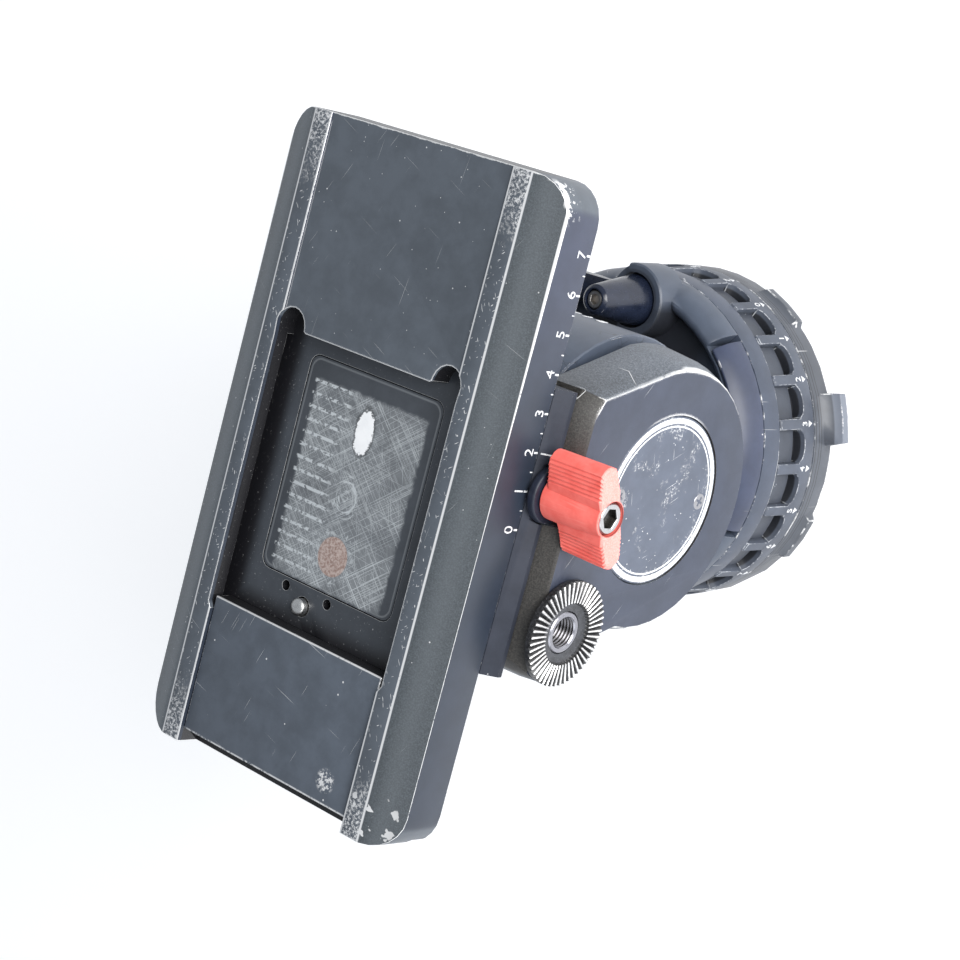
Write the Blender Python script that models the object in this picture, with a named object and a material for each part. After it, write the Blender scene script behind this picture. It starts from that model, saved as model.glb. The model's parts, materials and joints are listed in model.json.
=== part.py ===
"""Fluid video head with a 75 mm half-ball, a sliding camera platform and a side clamp lever.

Frame: origin at the centre of the half-ball, on the pan axis, level with the underside of the
base flange. +Z is the pan axis (up), +Y is the way the lens looks, +X is the side with the
clamp lever and the cover disc. The tilting parts are laid out in their own frame, whose origin
lies on the tilt axis; its empty stands at REST_TILT to the pan housing.
All dimensions below are in millimetres and MM turns them into Blender's metres.
"""
import math

import bmesh
import bpy
from mathutils import Vector

MM = 0.001
CLEAR = 0.3                  # gap between neighbouring pieces

# ---- driving dimensions --------------------------------------------------------------------
BALL_RADIUS = 37.5
STUD_RADIUS = 5.0
STUD_END = -68.0             # lower end of the tie-down stud
SPINDLE_RADIUS = 11.0
SPINDLE_TOP = 44.5
PAN_BEARING_OUTER = 17.1
FLANGE_RADIUS = 49.1
RIM_FEATURES = ((19.7, 7.4, 55.0),          # the flange's lug: azimuth, half span, radius
                (62.7, 8.0, 50.6), (-23.3, 8.0, 50.6))      # and the two pads beside it
FLANGE_TOP = 9.0
RING_TOP = 25.3              # pan drag ring
RING_RADIUS = 49.3
RING_PITCH = 15.0            # one grip rib every 15 degrees
RING_PHASE = 3.7             # azimuth of the first rib
SKIRT_TOP = 32.5
COLLAR_TOP = 41.4
COLLAR_INNER = 41.0
COLLAR_FLOOR = 36.5
PANEL_START, PANEL_END = -19.0, 48.7        # azimuths of the side panel
PANEL_SLOT = 2.6                            # slot beside the panel, in degrees
KNOB_X, KNOB_Y = 1.2, 40.0                  # pan brake knob, standing in front of the drum

TILT_HEIGHT = 88.4
REST_TILT = -0.09            # radians about +X, nose down
DRUM_RADIUS = 39.3
DRUM_HALF = 36.0
DRUM_CAVITY = 31.5           # radius of the hollow for the springs and damping discs
AXLE_RADIUS = 7.0
TILT_BEARING_OUTER = 14.0
LEVEL_X, LEVEL_Y = -12.0, -31.5             # spirit level in the collar's rear well
CHEEK_IN, CHEEK_OUT = 40.2, 56.0
CHEEK_RADIUS = 34.5
CHEEK_TOP = 39.7
DISC_RADIUS = 22.9
ROSETTE_Y, ROSETTE_Z = -35.5, 27.8
ROSETTE_RADIUS = 14.1
ROSETTE_TEETH = 40
BRACKET_REAR, BRACKET_FRONT = -49.5, 25.1
BRACKET_BOTTOM, BRACKET_TOP = 40.0, 45.3
RAIL_REAR, RAIL_FRONT = -45.0, 13.5
LEVER_Y, LEVER_Z = -1.2, 40.0
LEVER_OUT = 71.3             # the lever's outer face
WINGS_IN = 56.4              # inner end of its lower wing, which clears the cheek
UPPER_WING_IN = 53.6         # inner ends of its upper wing, of its hub and of its black collar
HUB_IN = 52.7
COLLAR_START = 50.0
DIAL_NEAR = -56.4            # the controls on the left cheek start here
LEVER_ANGLE = math.radians(25.0)

PLATFORM_REAR, PLATFORM_FRONT = -97.9, 75.2
PLATFORM_HALF = 48.54
PLATFORM_BOTTOM = 45.75
SIDE_TOP = 58.3              # top edge of the vertical side face
RAIL_TOP = 62.7              # top of the two wear rails
RAIL_OUTER, RAIL_INNER = 38.0, 31.8
FRONT_FLAT = 62.2
CORNER_RADIUS = 10.0
POCKET_FLOOR = 55.7
POCKET_FRONT = 18.3
POCKET_HALF = 33.0
EAR_X, EAR_Y, EAR_RADIUS = 28.4, 18.9, 5.0
INSERT_REAR, INSERT_FRONT = -94.2, -56.4
PIN_X, PIN_Y = -6.2, -50.8
CHEEK_BOLT_X = 44.3
CHEEK_BOLT_YS = {"rear": -21.0, "front": 13.0}
CHANNEL_FRONT = 69.0         # the channels under the platform stop at its front wall


# ---- scene helpers -------------------------------------------------------------------------
def clear_scene():
    for obj in list(bpy.data.objects):
        bpy.data.objects.remove(obj, do_unlink=True)


def finish(name, colour, roughness, metallic):
    """A Principled material with the given base colour, roughness and metallic value."""
    material = bpy.data.materials.new(name)
    material.use_nodes = True
    shader = material.node_tree.nodes["Principled BSDF"]
    shader.inputs["Base Color"].default_value = (*colour, 1.0)
    shader.inputs["Roughness"].default_value = roughness
    shader.inputs["Metallic"].default_value = metallic
    return material


def axis_empty(name, location, parent=None, tilt=0.0):
    """An empty on a joint's axis; its children are laid out in its frame."""
    empty = bpy.data.objects.new(name, None)
    empty.location = Vector(location) * MM
    empty.rotation_euler = (tilt, 0.0, 0.0)
    empty.parent = parent
    bpy.context.collection.objects.link(empty)
    return empty


def add(name, shape, material, parent, at=(0.0, 0.0, 0.0)):
    """Make one object from a shape, which is a pair of vertex and face lists in millimetres."""
    verts, faces = shape
    mesh = bpy.data.meshes.new(name)
    mesh.from_pydata([Vector(v) * MM for v in verts], [], faces)
    bm = bmesh.new()
    bm.from_mesh(mesh)
    bmesh.ops.remove_doubles(bm, verts=bm.verts, dist=1e-7)
    bmesh.ops.dissolve_degenerate(bm, dist=1e-7, edges=bm.edges)
    bmesh.ops.recalc_face_normals(bm, faces=bm.faces)
    bm.to_mesh(mesh)
    bm.free()
    mesh.shade_smooth()
    mesh.set_sharp_from_angle(angle=math.radians(30.0))
    mesh.materials.append(material)
    obj = bpy.data.objects.new(name, mesh)
    obj.location = Vector(at) * MM
    obj.parent = parent
    bpy.context.collection.objects.link(obj)
    return obj


def combine(target, shape, operation, at=(0.0, 0.0, 0.0)):
    """Cut a shape from an object, or add it, with an exact Boolean and a hidden guide."""
    guide = add(f"guide_{target.name}_{len(target.modifiers)}", shape,
                target.data.materials[0], target.parent, at)
    guide.hide_render = True
    guide.display_type = "WIRE"
    modifier = target.modifiers.new(operation.lower(), "BOOLEAN")
    modifier.operation = operation
    modifier.solver = "EXACT"
    modifier.object = guide


def cut(target, shape, at=(0.0, 0.0, 0.0)):
    combine(target, shape, "DIFFERENCE", at)


def fuse(target, shape, at=(0.0, 0.0, 0.0)):
    combine(target, shape, "UNION", at)


# ---- shape helpers: each returns (vertices, faces) ------------------------------------------
def arc(cx, cy, radius, start, end, steps):
    """Points on an arc from start to end degrees, both included."""
    angles = [math.radians(start + (end - start) * k / steps) for k in range(steps + 1)]
    return [(cx + radius * math.cos(a), cy + radius * math.sin(a)) for a in angles]


def oriented(u, v, w, axis):
    """A point u, v across the axis and w along it."""
    return {"X": (w, u, v), "Y": (u, w, v), "Z": (u, v, w)}[axis]


def loft(loops, closed=False):
    """Skin equal loops one after another; the ends are capped, or joined when closed."""
    count = len(loops[0])
    verts = [point for loop in loops for point in loop]
    faces = []
    last = len(loops) if closed else len(loops) - 1
    for row in range(last):
        a, b = row * count, (row + 1) % len(loops) * count
        for k in range(count):
            n = (k + 1) % count
            faces.append((a + k, a + n, b + n, b + k))
    if not closed:
        faces.append(tuple(range(count)))
        faces.append(tuple(range(len(verts) - count, len(verts))))
    return verts, faces


def turned(profile, axis="Z", segments=32):
    """Turn a closed (radius, height) profile a full circle about an axis."""
    loops = []
    for k in range(segments):
        a = 2.0 * math.pi * k / segments
        loops.append([oriented(r * math.cos(a), r * math.sin(a), h, axis) for r, h in profile])
    return loft(loops, closed=True)


def swept_sector(profile, start, end, steps):
    """Turn a (radius, z) profile about Z between two azimuths in degrees, with flat ends."""
    loops = []
    for k in range(steps + 1):
        a = math.radians(start + (end - start) * k / steps)
        loops.append([(r * math.cos(a), r * math.sin(a), h) for r, h in profile])
    return loft(loops)


def tube(inner, outer, low, high, axis="Z", segments=28):
    return turned([(outer, high), (outer, low), (inner, low), (inner, high)], axis, segments)


def rod(radius, low, high, axis="Z", segments=24, chamfer=0.0):
    """A solid cylinder along an axis, with an optional chamfer at both ends."""
    if chamfer:
        steps = [(radius - chamfer, low), (radius, low + chamfer),
                 (radius, high - chamfer), (radius - chamfer, high)]
    else:
        steps = [(radius, low), (radius, high)]
    angles = [2.0 * math.pi * k / segments for k in range(segments)]
    return loft([[oriented(r * math.cos(a), r * math.sin(a), h, axis) for a in angles]
                 for r, h in steps])


def prism(outline, low, high, axis="Z"):
    return loft([[oriented(u, v, w, axis) for u, v in outline] for w in (low, high)])


def block(x0, x1, y0, y1, z0, z1):
    return prism([(x0, y0), (x1, y0), (x1, y1), (x0, y1)], z0, z1)


def rounded_rectangle(x0, x1, y0, y1, radius, steps=6):
    return (arc(x1 - radius, y1 - radius, radius, 0, 90, steps)
            + arc(x0 + radius, y1 - radius, radius, 90, 180, steps)
            + arc(x0 + radius, y0 + radius, radius, 180, 270, steps)
            + arc(x1 - radius, y0 + radius, radius, 270, 360, steps))


def coil(radius, wire, low, high, turns, axis="Z", steps=14, sides=5):
    """A round wire wound as a helix along an axis."""
    loops = []
    total = turns * steps
    for k in range(total + 1):
        a = 2.0 * math.pi * k / steps
        height = low + wire + (high - low - 2.0 * wire) * k / total
        loop = []
        for s in range(sides):
            b = 2.0 * math.pi * s / sides
            r = radius + wire * math.cos(b)
            loop.append(oriented(r * math.cos(a), r * math.sin(a), height + wire * math.sin(b), axis))
        loops.append(loop)
    return loft(loops)


def hexagon(radius, low, high, axis="Z"):
    return rod(radius, low, high, axis, segments=6)


# ---- base: half-ball, flange, spindle and drag ring ------------------------------------------
def rim_loop(z, inset=0.0, features=True):
    """The flange's rim: a circle that steps out over the lug and the two pads."""
    blend = 1.5
    azimuths = [-50.0 + 8.0 * k for k in range(1, 45)]
    edges = []
    for centre, half, _ in RIM_FEATURES:
        azimuths = [a for a in azimuths if abs(a - centre) > half + blend + 2.0]
        edges += [centre + side * (half + extra) for side in (-1.0, 1.0) for extra in (0.0, blend)]
        edges.append(centre)
    loop = []
    for azimuth in sorted(azimuths + edges):
        r = FLANGE_RADIUS
        for centre, half, reach in RIM_FEATURES:
            if features and abs(azimuth - centre) <= half + 0.01:
                r = reach
        a = math.radians(azimuth)
        loop.append(((r - inset) * math.cos(a), (r - inset) * math.sin(a), z))
    return loop


def bore_loop(radius, z):
    """A circular loop with one point for each point of rim_loop, at the same azimuths."""
    scaled = []
    for x, y, _ in rim_loop(z):
        reach = math.hypot(x, y)
        scaled.append((radius * x / reach, radius * y / reach, z))
    return scaled


def build_base(parent, paint, steel, black):
    bore = STUD_RADIUS + 0.6
    dome = [(bore, -CLEAR)] + arc(0.0, 0.0, BALL_RADIUS, -0.6, -74.0, 7) + [(bore, -36.0)]
    add("half_ball", turned(dome[::-1], segments=28), paint, parent)
    stud = [(0.0, 6.0), (STUD_RADIUS, 6.0), (STUD_RADIUS, STUD_END + 1.0),
            (STUD_RADIUS - 1.0, STUD_END), (0.0, STUD_END)]
    add("tie_down_stud", turned(stud, segments=24), steel, parent)
    bore = STUD_RADIUS + 0.4
    flange = loft([rim_loop(0.0, inset=0.6), rim_loop(0.6), rim_loop(3.4),
                   rim_loop(4.2, features=False), rim_loop(FLANGE_TOP, features=False),
                   bore_loop(bore, FLANGE_TOP), bore_loop(bore, 0.0)], closed=True)
    add("base_flange", flange, paint, parent)
    foot = 22.0
    spindle = [(0.0, SPINDLE_TOP), (SPINDLE_RADIUS, SPINDLE_TOP), (SPINDLE_RADIUS, 12.0), (foot, 12.0),
               (foot, FLANGE_TOP + CLEAR), (0.0, FLANGE_TOP + CLEAR)]
    add("pan_spindle", turned(spindle, segments=32), steel, parent)
    add("spindle_nut", hexagon(14.0, SPINDLE_TOP + CLEAR, 48.6), steel, parent)
    add("pan_damper_stator", tube(SPINDLE_RADIUS + CLEAR, 38.0, 12.6, 15.0), black, parent)


def ring_loop(rib_radius, recess_radius, z):
    """One turn of the drag ring's outline: narrow ribs with wide grip recesses between them."""
    rib = 1.9
    wall = 0.6
    loop = []
    for k in range(int(360.0 / RING_PITCH)):
        centre = RING_PHASE + k * RING_PITCH
        for offset, r in ((-rib, rib_radius), (rib, rib_radius), (rib + wall, recess_radius),
                          (RING_PITCH - rib - wall, recess_radius)):
            a = math.radians(centre + offset)
            loop.append((r * math.cos(a), r * math.sin(a), z))
    return loop


def build_drag_ring(parent, rubber):
    low = FLANGE_TOP + CLEAR
    inner = 43.0
    ring = loft([ring_loop(RING_RADIUS, RING_RADIUS, low),
                 ring_loop(RING_RADIUS, RING_RADIUS, 15.6),
                 ring_loop(RING_RADIUS - 0.1, RING_RADIUS - 2.6, 17.2),
                 ring_loop(RING_RADIUS - 0.7, RING_RADIUS - 2.4, RING_TOP),
                 ring_loop(inner, inner, RING_TOP),
                 ring_loop(inner, inner, low)], closed=True)
    add("pan_drag_ring", ring, rubber, parent)


# ---- pan housing -----------------------------------------------------------------------------
def collar_outside():
    """The collar's rounded outside, from its foot to its rim, as (radius, z)."""
    return [(48.1, SKIRT_TOP + CLEAR), (47.8, 35.2), (47.0, 37.6), (45.7, 39.7), (44.1, COLLAR_TOP)]


def build_pan_housing(parent, paint, dark, steel, black, glass):
    foot = SKIRT_TOP + CLEAR
    hub_low = RING_TOP + 0.6
    bore = PAN_BEARING_OUTER + CLEAR
    collar = collar_outside() + [(43.2, COLLAR_TOP + 0.2), (42.0, COLLAR_TOP - 0.2),
                                 (COLLAR_INNER, COLLAR_TOP - 1.4), (COLLAR_INNER, COLLAR_FLOOR),
                                 (bore, COLLAR_FLOOR), (bore, hub_low), (42.4, hub_low), (42.4, foot)]
    housing = add("pan_housing", turned(collar[::-1], segments=48), paint, parent)
    neck = [[(x * w, y * d, z) for x, y in ((-1, -1), (1, -1), (1, 1), (-1, 1))]
            for w, d, z in ((31.0, 24.0, COLLAR_FLOOR - 1.0), (27.0, 21.0, 52.0), (27.0, 25.0, 74.0))]
    fuse(housing, loft(neck))
    fuse(housing, rod(DRUM_RADIUS, -DRUM_HALF, DRUM_HALF, "X", 48, chamfer=0.4),
         (0.0, 0.0, TILT_HEIGHT))
    fuse(housing, rod(10.6, COLLAR_FLOOR - 2.0, 46.2, segments=32, chamfer=0.5), (KNOB_X, KNOB_Y, 0.0))
    cut(housing, rod(8.0, 41.0, 60.0, segments=28), (KNOB_X, KNOB_Y, 0.0))
    cut(housing, block(-40.0, -2.0, 30.0, 60.0, 42.2, 48.0))
    cut(housing, rod(bore, hub_low - 1.0, 49.4))
    cut(housing, rod(34.6, 0.0, DRUM_HALF + 1.0, "X", 36), (0.0, 0.0, TILT_HEIGHT))
    cut(housing, rod(DRUM_CAVITY, -DRUM_HALF + 3.0, 1.0, "X", 28), (0.0, 0.0, TILT_HEIGHT))
    seat = TILT_BEARING_OUTER + CLEAR
    cut(housing, rod(seat, -DRUM_HALF - 1.0, -DRUM_HALF + 4.0, "X", 28), (0.0, 0.0, TILT_HEIGHT))
    window = [(60.0, 32.0), (60.0, 45.0), (42.7, 45.0), (42.7, 32.0)]
    cut(housing, swept_sector(window, PANEL_START - PANEL_SLOT, PANEL_END + PANEL_SLOT, 8))

    panel = [(r, z + 0.1) for r, z in collar_outside()] + [(43.6, COLLAR_TOP + 0.1), (43.0, 41.0),
                                                           (43.0, foot + 0.1)]
    add("housing_side_panel", swept_sector(panel, PANEL_START, PANEL_END, 10), paint, parent)
    skirt = [(48.5, RING_TOP + CLEAR), (48.1, SKIRT_TOP), (43.0, SKIRT_TOP), (43.0, RING_TOP + CLEAR)]
    add("housing_skirt", turned(skirt, segments=48), paint, parent)
    cap = [(34.2, 35.6), (34.2, 33.0), (seat, 33.0), (seat, 35.6)]
    add("drum_end_cap", turned(cap[::-1], "X", 32), dark, parent, (0.0, 0.0, TILT_HEIGHT))
    for side, name in ((-1.0, "left"), (1.0, "right")):
        ends = sorted((side * 33.0, side * 35.8))
        race = tube(AXLE_RADIUS + CLEAR, TILT_BEARING_OUTER, *ends, "X", 24)
        add(f"tilt_bearing_{name}", race, steel, parent, (0.0, 0.0, TILT_HEIGHT))
    for name, low in (("lower", 27.0), ("upper", 38.0)):
        race = tube(SPINDLE_RADIUS + CLEAR, PAN_BEARING_OUTER, low, low + 5.0)
        add(f"pan_bearing_{name}", race, steel, parent)
    rotor = [(38.0, 18.0), (38.0, 15.6), (12.5, 15.6), (12.5, 18.0), (22.0, 18.0), (22.0, 25.4),
             (26.0, 25.4), (26.0, 18.0)]
    add("pan_damper_rotor", turned(rotor), black, parent)
    add("tilt_damper_stator", tube(12.0, 34.0, 26.0, 29.0, "X"), black, parent,
        (0.0, 0.0, TILT_HEIGHT))
    for name, low, high in (("left", -31.0, -10.0), ("right", -7.0, 14.0)):
        add(f"counterbalance_spring_{name}", coil(20.0, 2.2, low, high, 3, "X"), steel, parent,
            (0.0, 0.0, TILT_HEIGHT))
    cup = [(6.0, 41.5), (6.0, COLLAR_FLOOR + CLEAR), (0.0, COLLAR_FLOOR + CLEAR), (0.0, 38.5),
           (4.9, 38.5), (4.9, 41.5)]
    add("bubble_level_cup", turned(cup, segments=24), black, parent, (LEVEL_X, LEVEL_Y, 0.0))
    add("bubble_level_glass", rod(4.6, 38.8, 41.7, segments=24, chamfer=0.4), glass, parent,
        (LEVEL_X, LEVEL_Y, 0.0))


def build_pan_brake(parent, black, steel):
    """A conical hub in the front boss, with a short arm along the collar's rim."""
    cone = [(0.0, 63.4), (3.4, 63.4), (4.3, 62.6), (7.4, 45.0), (7.4, 41.3), (0.0, 41.3)]
    lever = add("pan_brake_lever", turned(cone[::-1], segments=36), black, parent)
    arm = [(-6.5, -3.0), (-6.5, 3.6)] + arc(-25.0, 0.0, 3.2, 90, 270, 6)
    fuse(lever, prism(arm, 42.9, 46.6))
    cut(lever, rod(3.0, 60.0, 64.0, segments=24))
    screw = add("pan_brake_screw", rod(2.7, 60.3, 62.9, segments=24, chamfer=0.3), steel, parent)
    cut(screw, hexagon(1.5, 61.5, 64.0))


# ---- tilting parts (in the tilt frame) -------------------------------------------------------
def cheek_outline(radius, top, boss):
    """Side view of a cheek, as (y, z): a round bottom, a sloping front and the rosette boss."""
    lowered = CHEEK_TOP - top
    reach = ROSETTE_Y - boss * math.cos(math.asin(min(1.0, (top - ROSETTE_Z) / boss)))
    boss_top = math.degrees(math.atan2(top - ROSETTE_Z, reach - ROSETTE_Y))
    front = [(21.5 - 0.5 * lowered, top), (26.0 - 0.3 * lowered, top - 2.3)]
    return (front + arc(0.0, 0.0, radius, 14.0, -188.0, 24)
            + arc(ROSETTE_Y, ROSETTE_Z, boss, 262.0, boss_top % 360.0, 7))


def cheek_shape(side):
    loops = []
    for x, radius, top, boss in ((CHEEK_IN, 38.3, CHEEK_TOP, 14.8), (50.5, 37.3, CHEEK_TOP, 14.6),
                                 (55.4, 35.4, 36.9, 14.2), (CHEEK_OUT, CHEEK_RADIUS + 0.3, 36.3, 14.1)):
        loops.append([(side * x, y, z) for y, z in cheek_outline(radius, top, boss)])
    return loft(loops)


def rosette_shape(side):
    """A ring of radial teeth whose crests face outwards."""
    crest, root, back = side * 59.0, side * 58.0, side * 57.0
    inner = 8.2
    loops = [[], [], [], []]
    for k in range(2 * ROSETTE_TEETH):
        a = math.pi * k / ROSETTE_TEETH
        face = crest if k % 2 else root
        for loop, r, x in zip(loops, (ROSETTE_RADIUS, ROSETTE_RADIUS, inner, inner),
                              (back, face, face, back)):
            loop.append((x, ROSETTE_Y + r * math.cos(a), ROSETTE_Z + r * math.sin(a)))
    return loft(loops, closed=True)


def build_cheeks(parent, olive, black, steel):
    for side, name in ((1.0, "right"), (-1.0, "left")):
        cheek = add(f"{name}_cheek", cheek_shape(side), olive, parent)
        spans = sorted((side * 39.0, side * 60.0))
        cut(cheek, rod(AXLE_RADIUS + 0.4, *spans, "X", 24))
        pocket = sorted((side * 54.3, side * 60.0))
        cut(cheek, rod(DISC_RADIUS + CLEAR, *pocket, "X", 48))
        well = sorted((side * 47.0, side * 60.0))
        cut(cheek, rod(6.0, *well, "X", 24), (0.0, ROSETTE_Y, ROSETTE_Z))
        for y in CHEEK_BOLT_YS.values():
            cut(cheek, rod(2.1, 28.0, 45.0, segments=12), (side * CHEEK_BOLT_X, y, 0.0))
        if side > 0.0:
            cut(cheek, rod(8.0, COLLAR_START - 0.4, 60.0, "X", 32), (0.0, LEVER_Y, LEVER_Z))
            cut(cheek, rod(2.1, 36.0, 52.0, "X", 16), (0.0, LEVER_Y, LEVER_Z))
            cut(cheek, hexagon(12.4, 48.6, 60.0, "X"))
        add(f"{name}_rosette", rosette_shape(side), black, parent)
        insert = tube(4.0, 5.6, *sorted((side * 47.3, side * 57.6)), "X", 24)
        add(f"{name}_rosette_insert", insert, steel, parent, (0.0, ROSETTE_Y, ROSETTE_Z))


def build_tilt_frame(parent, olive, paint, black, steel, plastic):
    section = [(51.3, BRACKET_BOTTOM), (51.3, 41.4), (48.4, BRACKET_TOP),
               (-48.4, BRACKET_TOP), (-51.3, 41.4), (-51.3, BRACKET_BOTTOM)]
    bracket = add("tilt_bracket", prism(section, BRACKET_REAR, BRACKET_FRONT, "Y"), olive, parent)
    cut(bracket, rod(8.0, COLLAR_START - 0.4, 60.0, "X", 32), (0.0, LEVER_Y, LEVER_Z))
    cut(bracket, rod(2.1, 36.0, 52.0, "X", 16), (0.0, LEVER_Y, LEVER_Z))
    cut(bracket, block(37.0, 43.3, -6.8, 4.4, 39.0, 46.0))
    for side, name in ((1.0, "right"), (-1.0, "left")):
        for end, y in CHEEK_BOLT_YS.items():
            spot = (side * CHEEK_BOLT_X, y, 0.0)
            cut(bracket, rod(2.1, 39.0, 46.0, segments=12), spot)
            cut(bracket, rod(3.5, 42.4, 46.0, segments=12), spot)
            bolt = turned([(0.0, 45.1), (3.2, 45.1), (3.2, 42.7), (1.8, 42.7), (1.8, 28.3), (0.0, 28.3)],
                          segments=12)
            add(f"cheek_bolt_{name}_{end}", bolt, steel, parent, spot)
    rail = [(27.0, BRACKET_TOP + CLEAR), (30.0, 50.8), (-30.0, 50.8), (-27.0, BRACKET_TOP + CLEAR)]
    add("dovetail_rail", prism(rail, RAIL_REAR, RAIL_FRONT, "Y"), steel, parent)
    build_cheeks(parent, olive, black, steel)

    axle = turned([(0.0, 52.8), (AXLE_RADIUS, 52.8), (AXLE_RADIUS, -54.0), (0.0, -54.0)], "X", 32)
    add("tilt_axle", axle, steel, parent)
    nut = add("tilt_axle_nut", hexagon(12.0, 48.9, 52.5, "X"), steel, parent)
    cut(nut, rod(AXLE_RADIUS + CLEAR, 48.0, 54.0, "X", 32))
    add("tilt_damper_rotor", tube(AXLE_RADIUS + CLEAR, 30.0, 21.0, 25.0, "X"), black, parent)

    disc = add("cover_disc", rod(DISC_RADIUS, 54.6, 55.8, "X", 40), paint, parent)
    for z, name in ((17.6, "upper"), (-17.6, "lower")):
        cut(disc, rod(2.5, 54.0, 57.0, "X", 20), (0.0, 0.3, z))
        add(f"disc_screw_{name}", rod(2.2, 54.7, 55.9, "X", 20), steel, parent, (0.0, 0.3, z))
    add("clamp_shoe", block(37.3, 40.6, -6.4, 4.0, 42.1, 49.6), plastic, parent)


def build_clamp_lever(parent, red, black, steel):
    """The lever is laid out in the frame of its own axis, which runs along X."""
    collar = rod(7.6, COLLAR_START, HUB_IN - CLEAR, "X", 36, chamfer=0.4)
    add("clamp_lever_collar", collar, black, parent)
    add("clamp_shaft", rod(1.8, 36.8, COLLAR_START - CLEAR, "X", 16), steel, parent)
    half, hub, tip = 14.0, 5.9, 3.0
    both = (arc(half - tip, 0.0, tip, 70, -70, 6)
            + [(6.6, -4.0)] + arc(0.0, 0.0, hub, -52, -128, 6) + [(-6.6, -4.0)]
            + arc(-half + tip, 0.0, tip, 250, 110, 6)
            + [(-6.6, 4.0)] + arc(0.0, 0.0, hub, 128, 52, 6) + [(6.6, 4.0)])
    upper = arc(half - tip, 0.0, tip - 0.1, 70, -70, 6) + [(5.0, -3.8), (5.0, 3.8)]
    cosine, sine = math.cos(LEVER_ANGLE), math.sin(LEVER_ANGLE)
    wings, upper_wing = ([(u * cosine - v * sine, u * sine + v * cosine) for u, v in outline]
                         for outline in (both, upper))
    lever = add("clamp_lever", prism(wings, WINGS_IN, LEVER_OUT, "X"), red, parent)
    fuse(lever, prism(upper_wing, UPPER_WING_IN, WINGS_IN + 1.0, "X"))
    fuse(lever, rod(hub, HUB_IN, WINGS_IN + 1.0, "X", 36, chamfer=0.3))
    cut(lever, rod(4.5, LEVER_OUT - 3.4, 80.0, "X", 28))
    screw = add("clamp_lever_screw", rod(4.1, LEVER_OUT - 3.1, LEVER_OUT - 0.3, "X", 28, chamfer=0.4),
                steel, parent)
    cut(screw, hexagon(2.3, LEVER_OUT - 2.2, 80.0, "X"))


def dial_shape(radius, depth, ribs, near, far):
    """A grip wheel on the left side, with shallow grooves round its rim."""
    loops = []
    for x, drop, groove in ((near, 0.5, 0.5), (near - 0.6, 0.0, depth), (far + 0.6, 0.0, depth),
                            (far, 0.6, depth + 0.4)):
        loop = []
        for k in range(4 * ribs):
            a = 2.0 * math.pi * (k + 0.35 * (k % 2)) / (4 * ribs)
            r = radius - (groove if k % 4 in (2, 3) else drop)
            loop.append((x, r * math.cos(a), r * math.sin(a)))
        loops.append(loop)
    return loops


def build_left_controls(drag_axis, balance_axis, brake_axis, black, steel):
    drag_ribs, drag_far, drag_bore = 12, -64.6, 15.5
    outer = dial_shape(26.5, 1.4, drag_ribs, DIAL_NEAR, drag_far)
    angles = [2.0 * math.pi * k / (4 * drag_ribs) for k in range(4 * drag_ribs)]
    inner = [[(x, drag_bore * math.cos(a), drag_bore * math.sin(a)) for a in angles]
             for x in (drag_far, DIAL_NEAR)]
    add("tilt_drag_dial", loft(outer + inner, closed=True), black, drag_axis)
    add("counterbalance_dial", loft(dial_shape(15.0, 1.2, 10, DIAL_NEAR, -70.0)), black, balance_axis)
    hub = rod(5.6, -67.0, DIAL_NEAR, "X", 28, chamfer=0.5)
    lever = add("tilt_brake_lever", hub, black, brake_axis)
    arm = [(0.0, -3.6)] + arc(27.0, 0.0, 3.4, -90, 90, 8) + [(0.0, 3.6)]
    fuse(lever, prism(arm, -66.4, -61.8, "X"))
    add("tilt_brake_screw", rod(2.6, -69.0, -67.3, "X", 20, chamfer=0.4), steel, brake_axis)


# ---- sliding platform ------------------------------------------------------------------------
def pocket_outline():
    """Plan view of the camera-plate pocket: cutter ears in front, narrower rails at the rear."""
    right = [(22.6, POCKET_FRONT), (23.3, POCKET_FRONT + 0.4)]
    right += arc(EAR_X, EAR_Y, EAR_RADIUS, 170, 10, 8)
    right += [(POCKET_HALF, 15.5), (POCKET_HALF, -58.2), (RAIL_INNER, -60.0), (RAIL_INNER, -110.0)]
    return right[::-1] + [(-x, y) for x, y in right]


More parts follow.
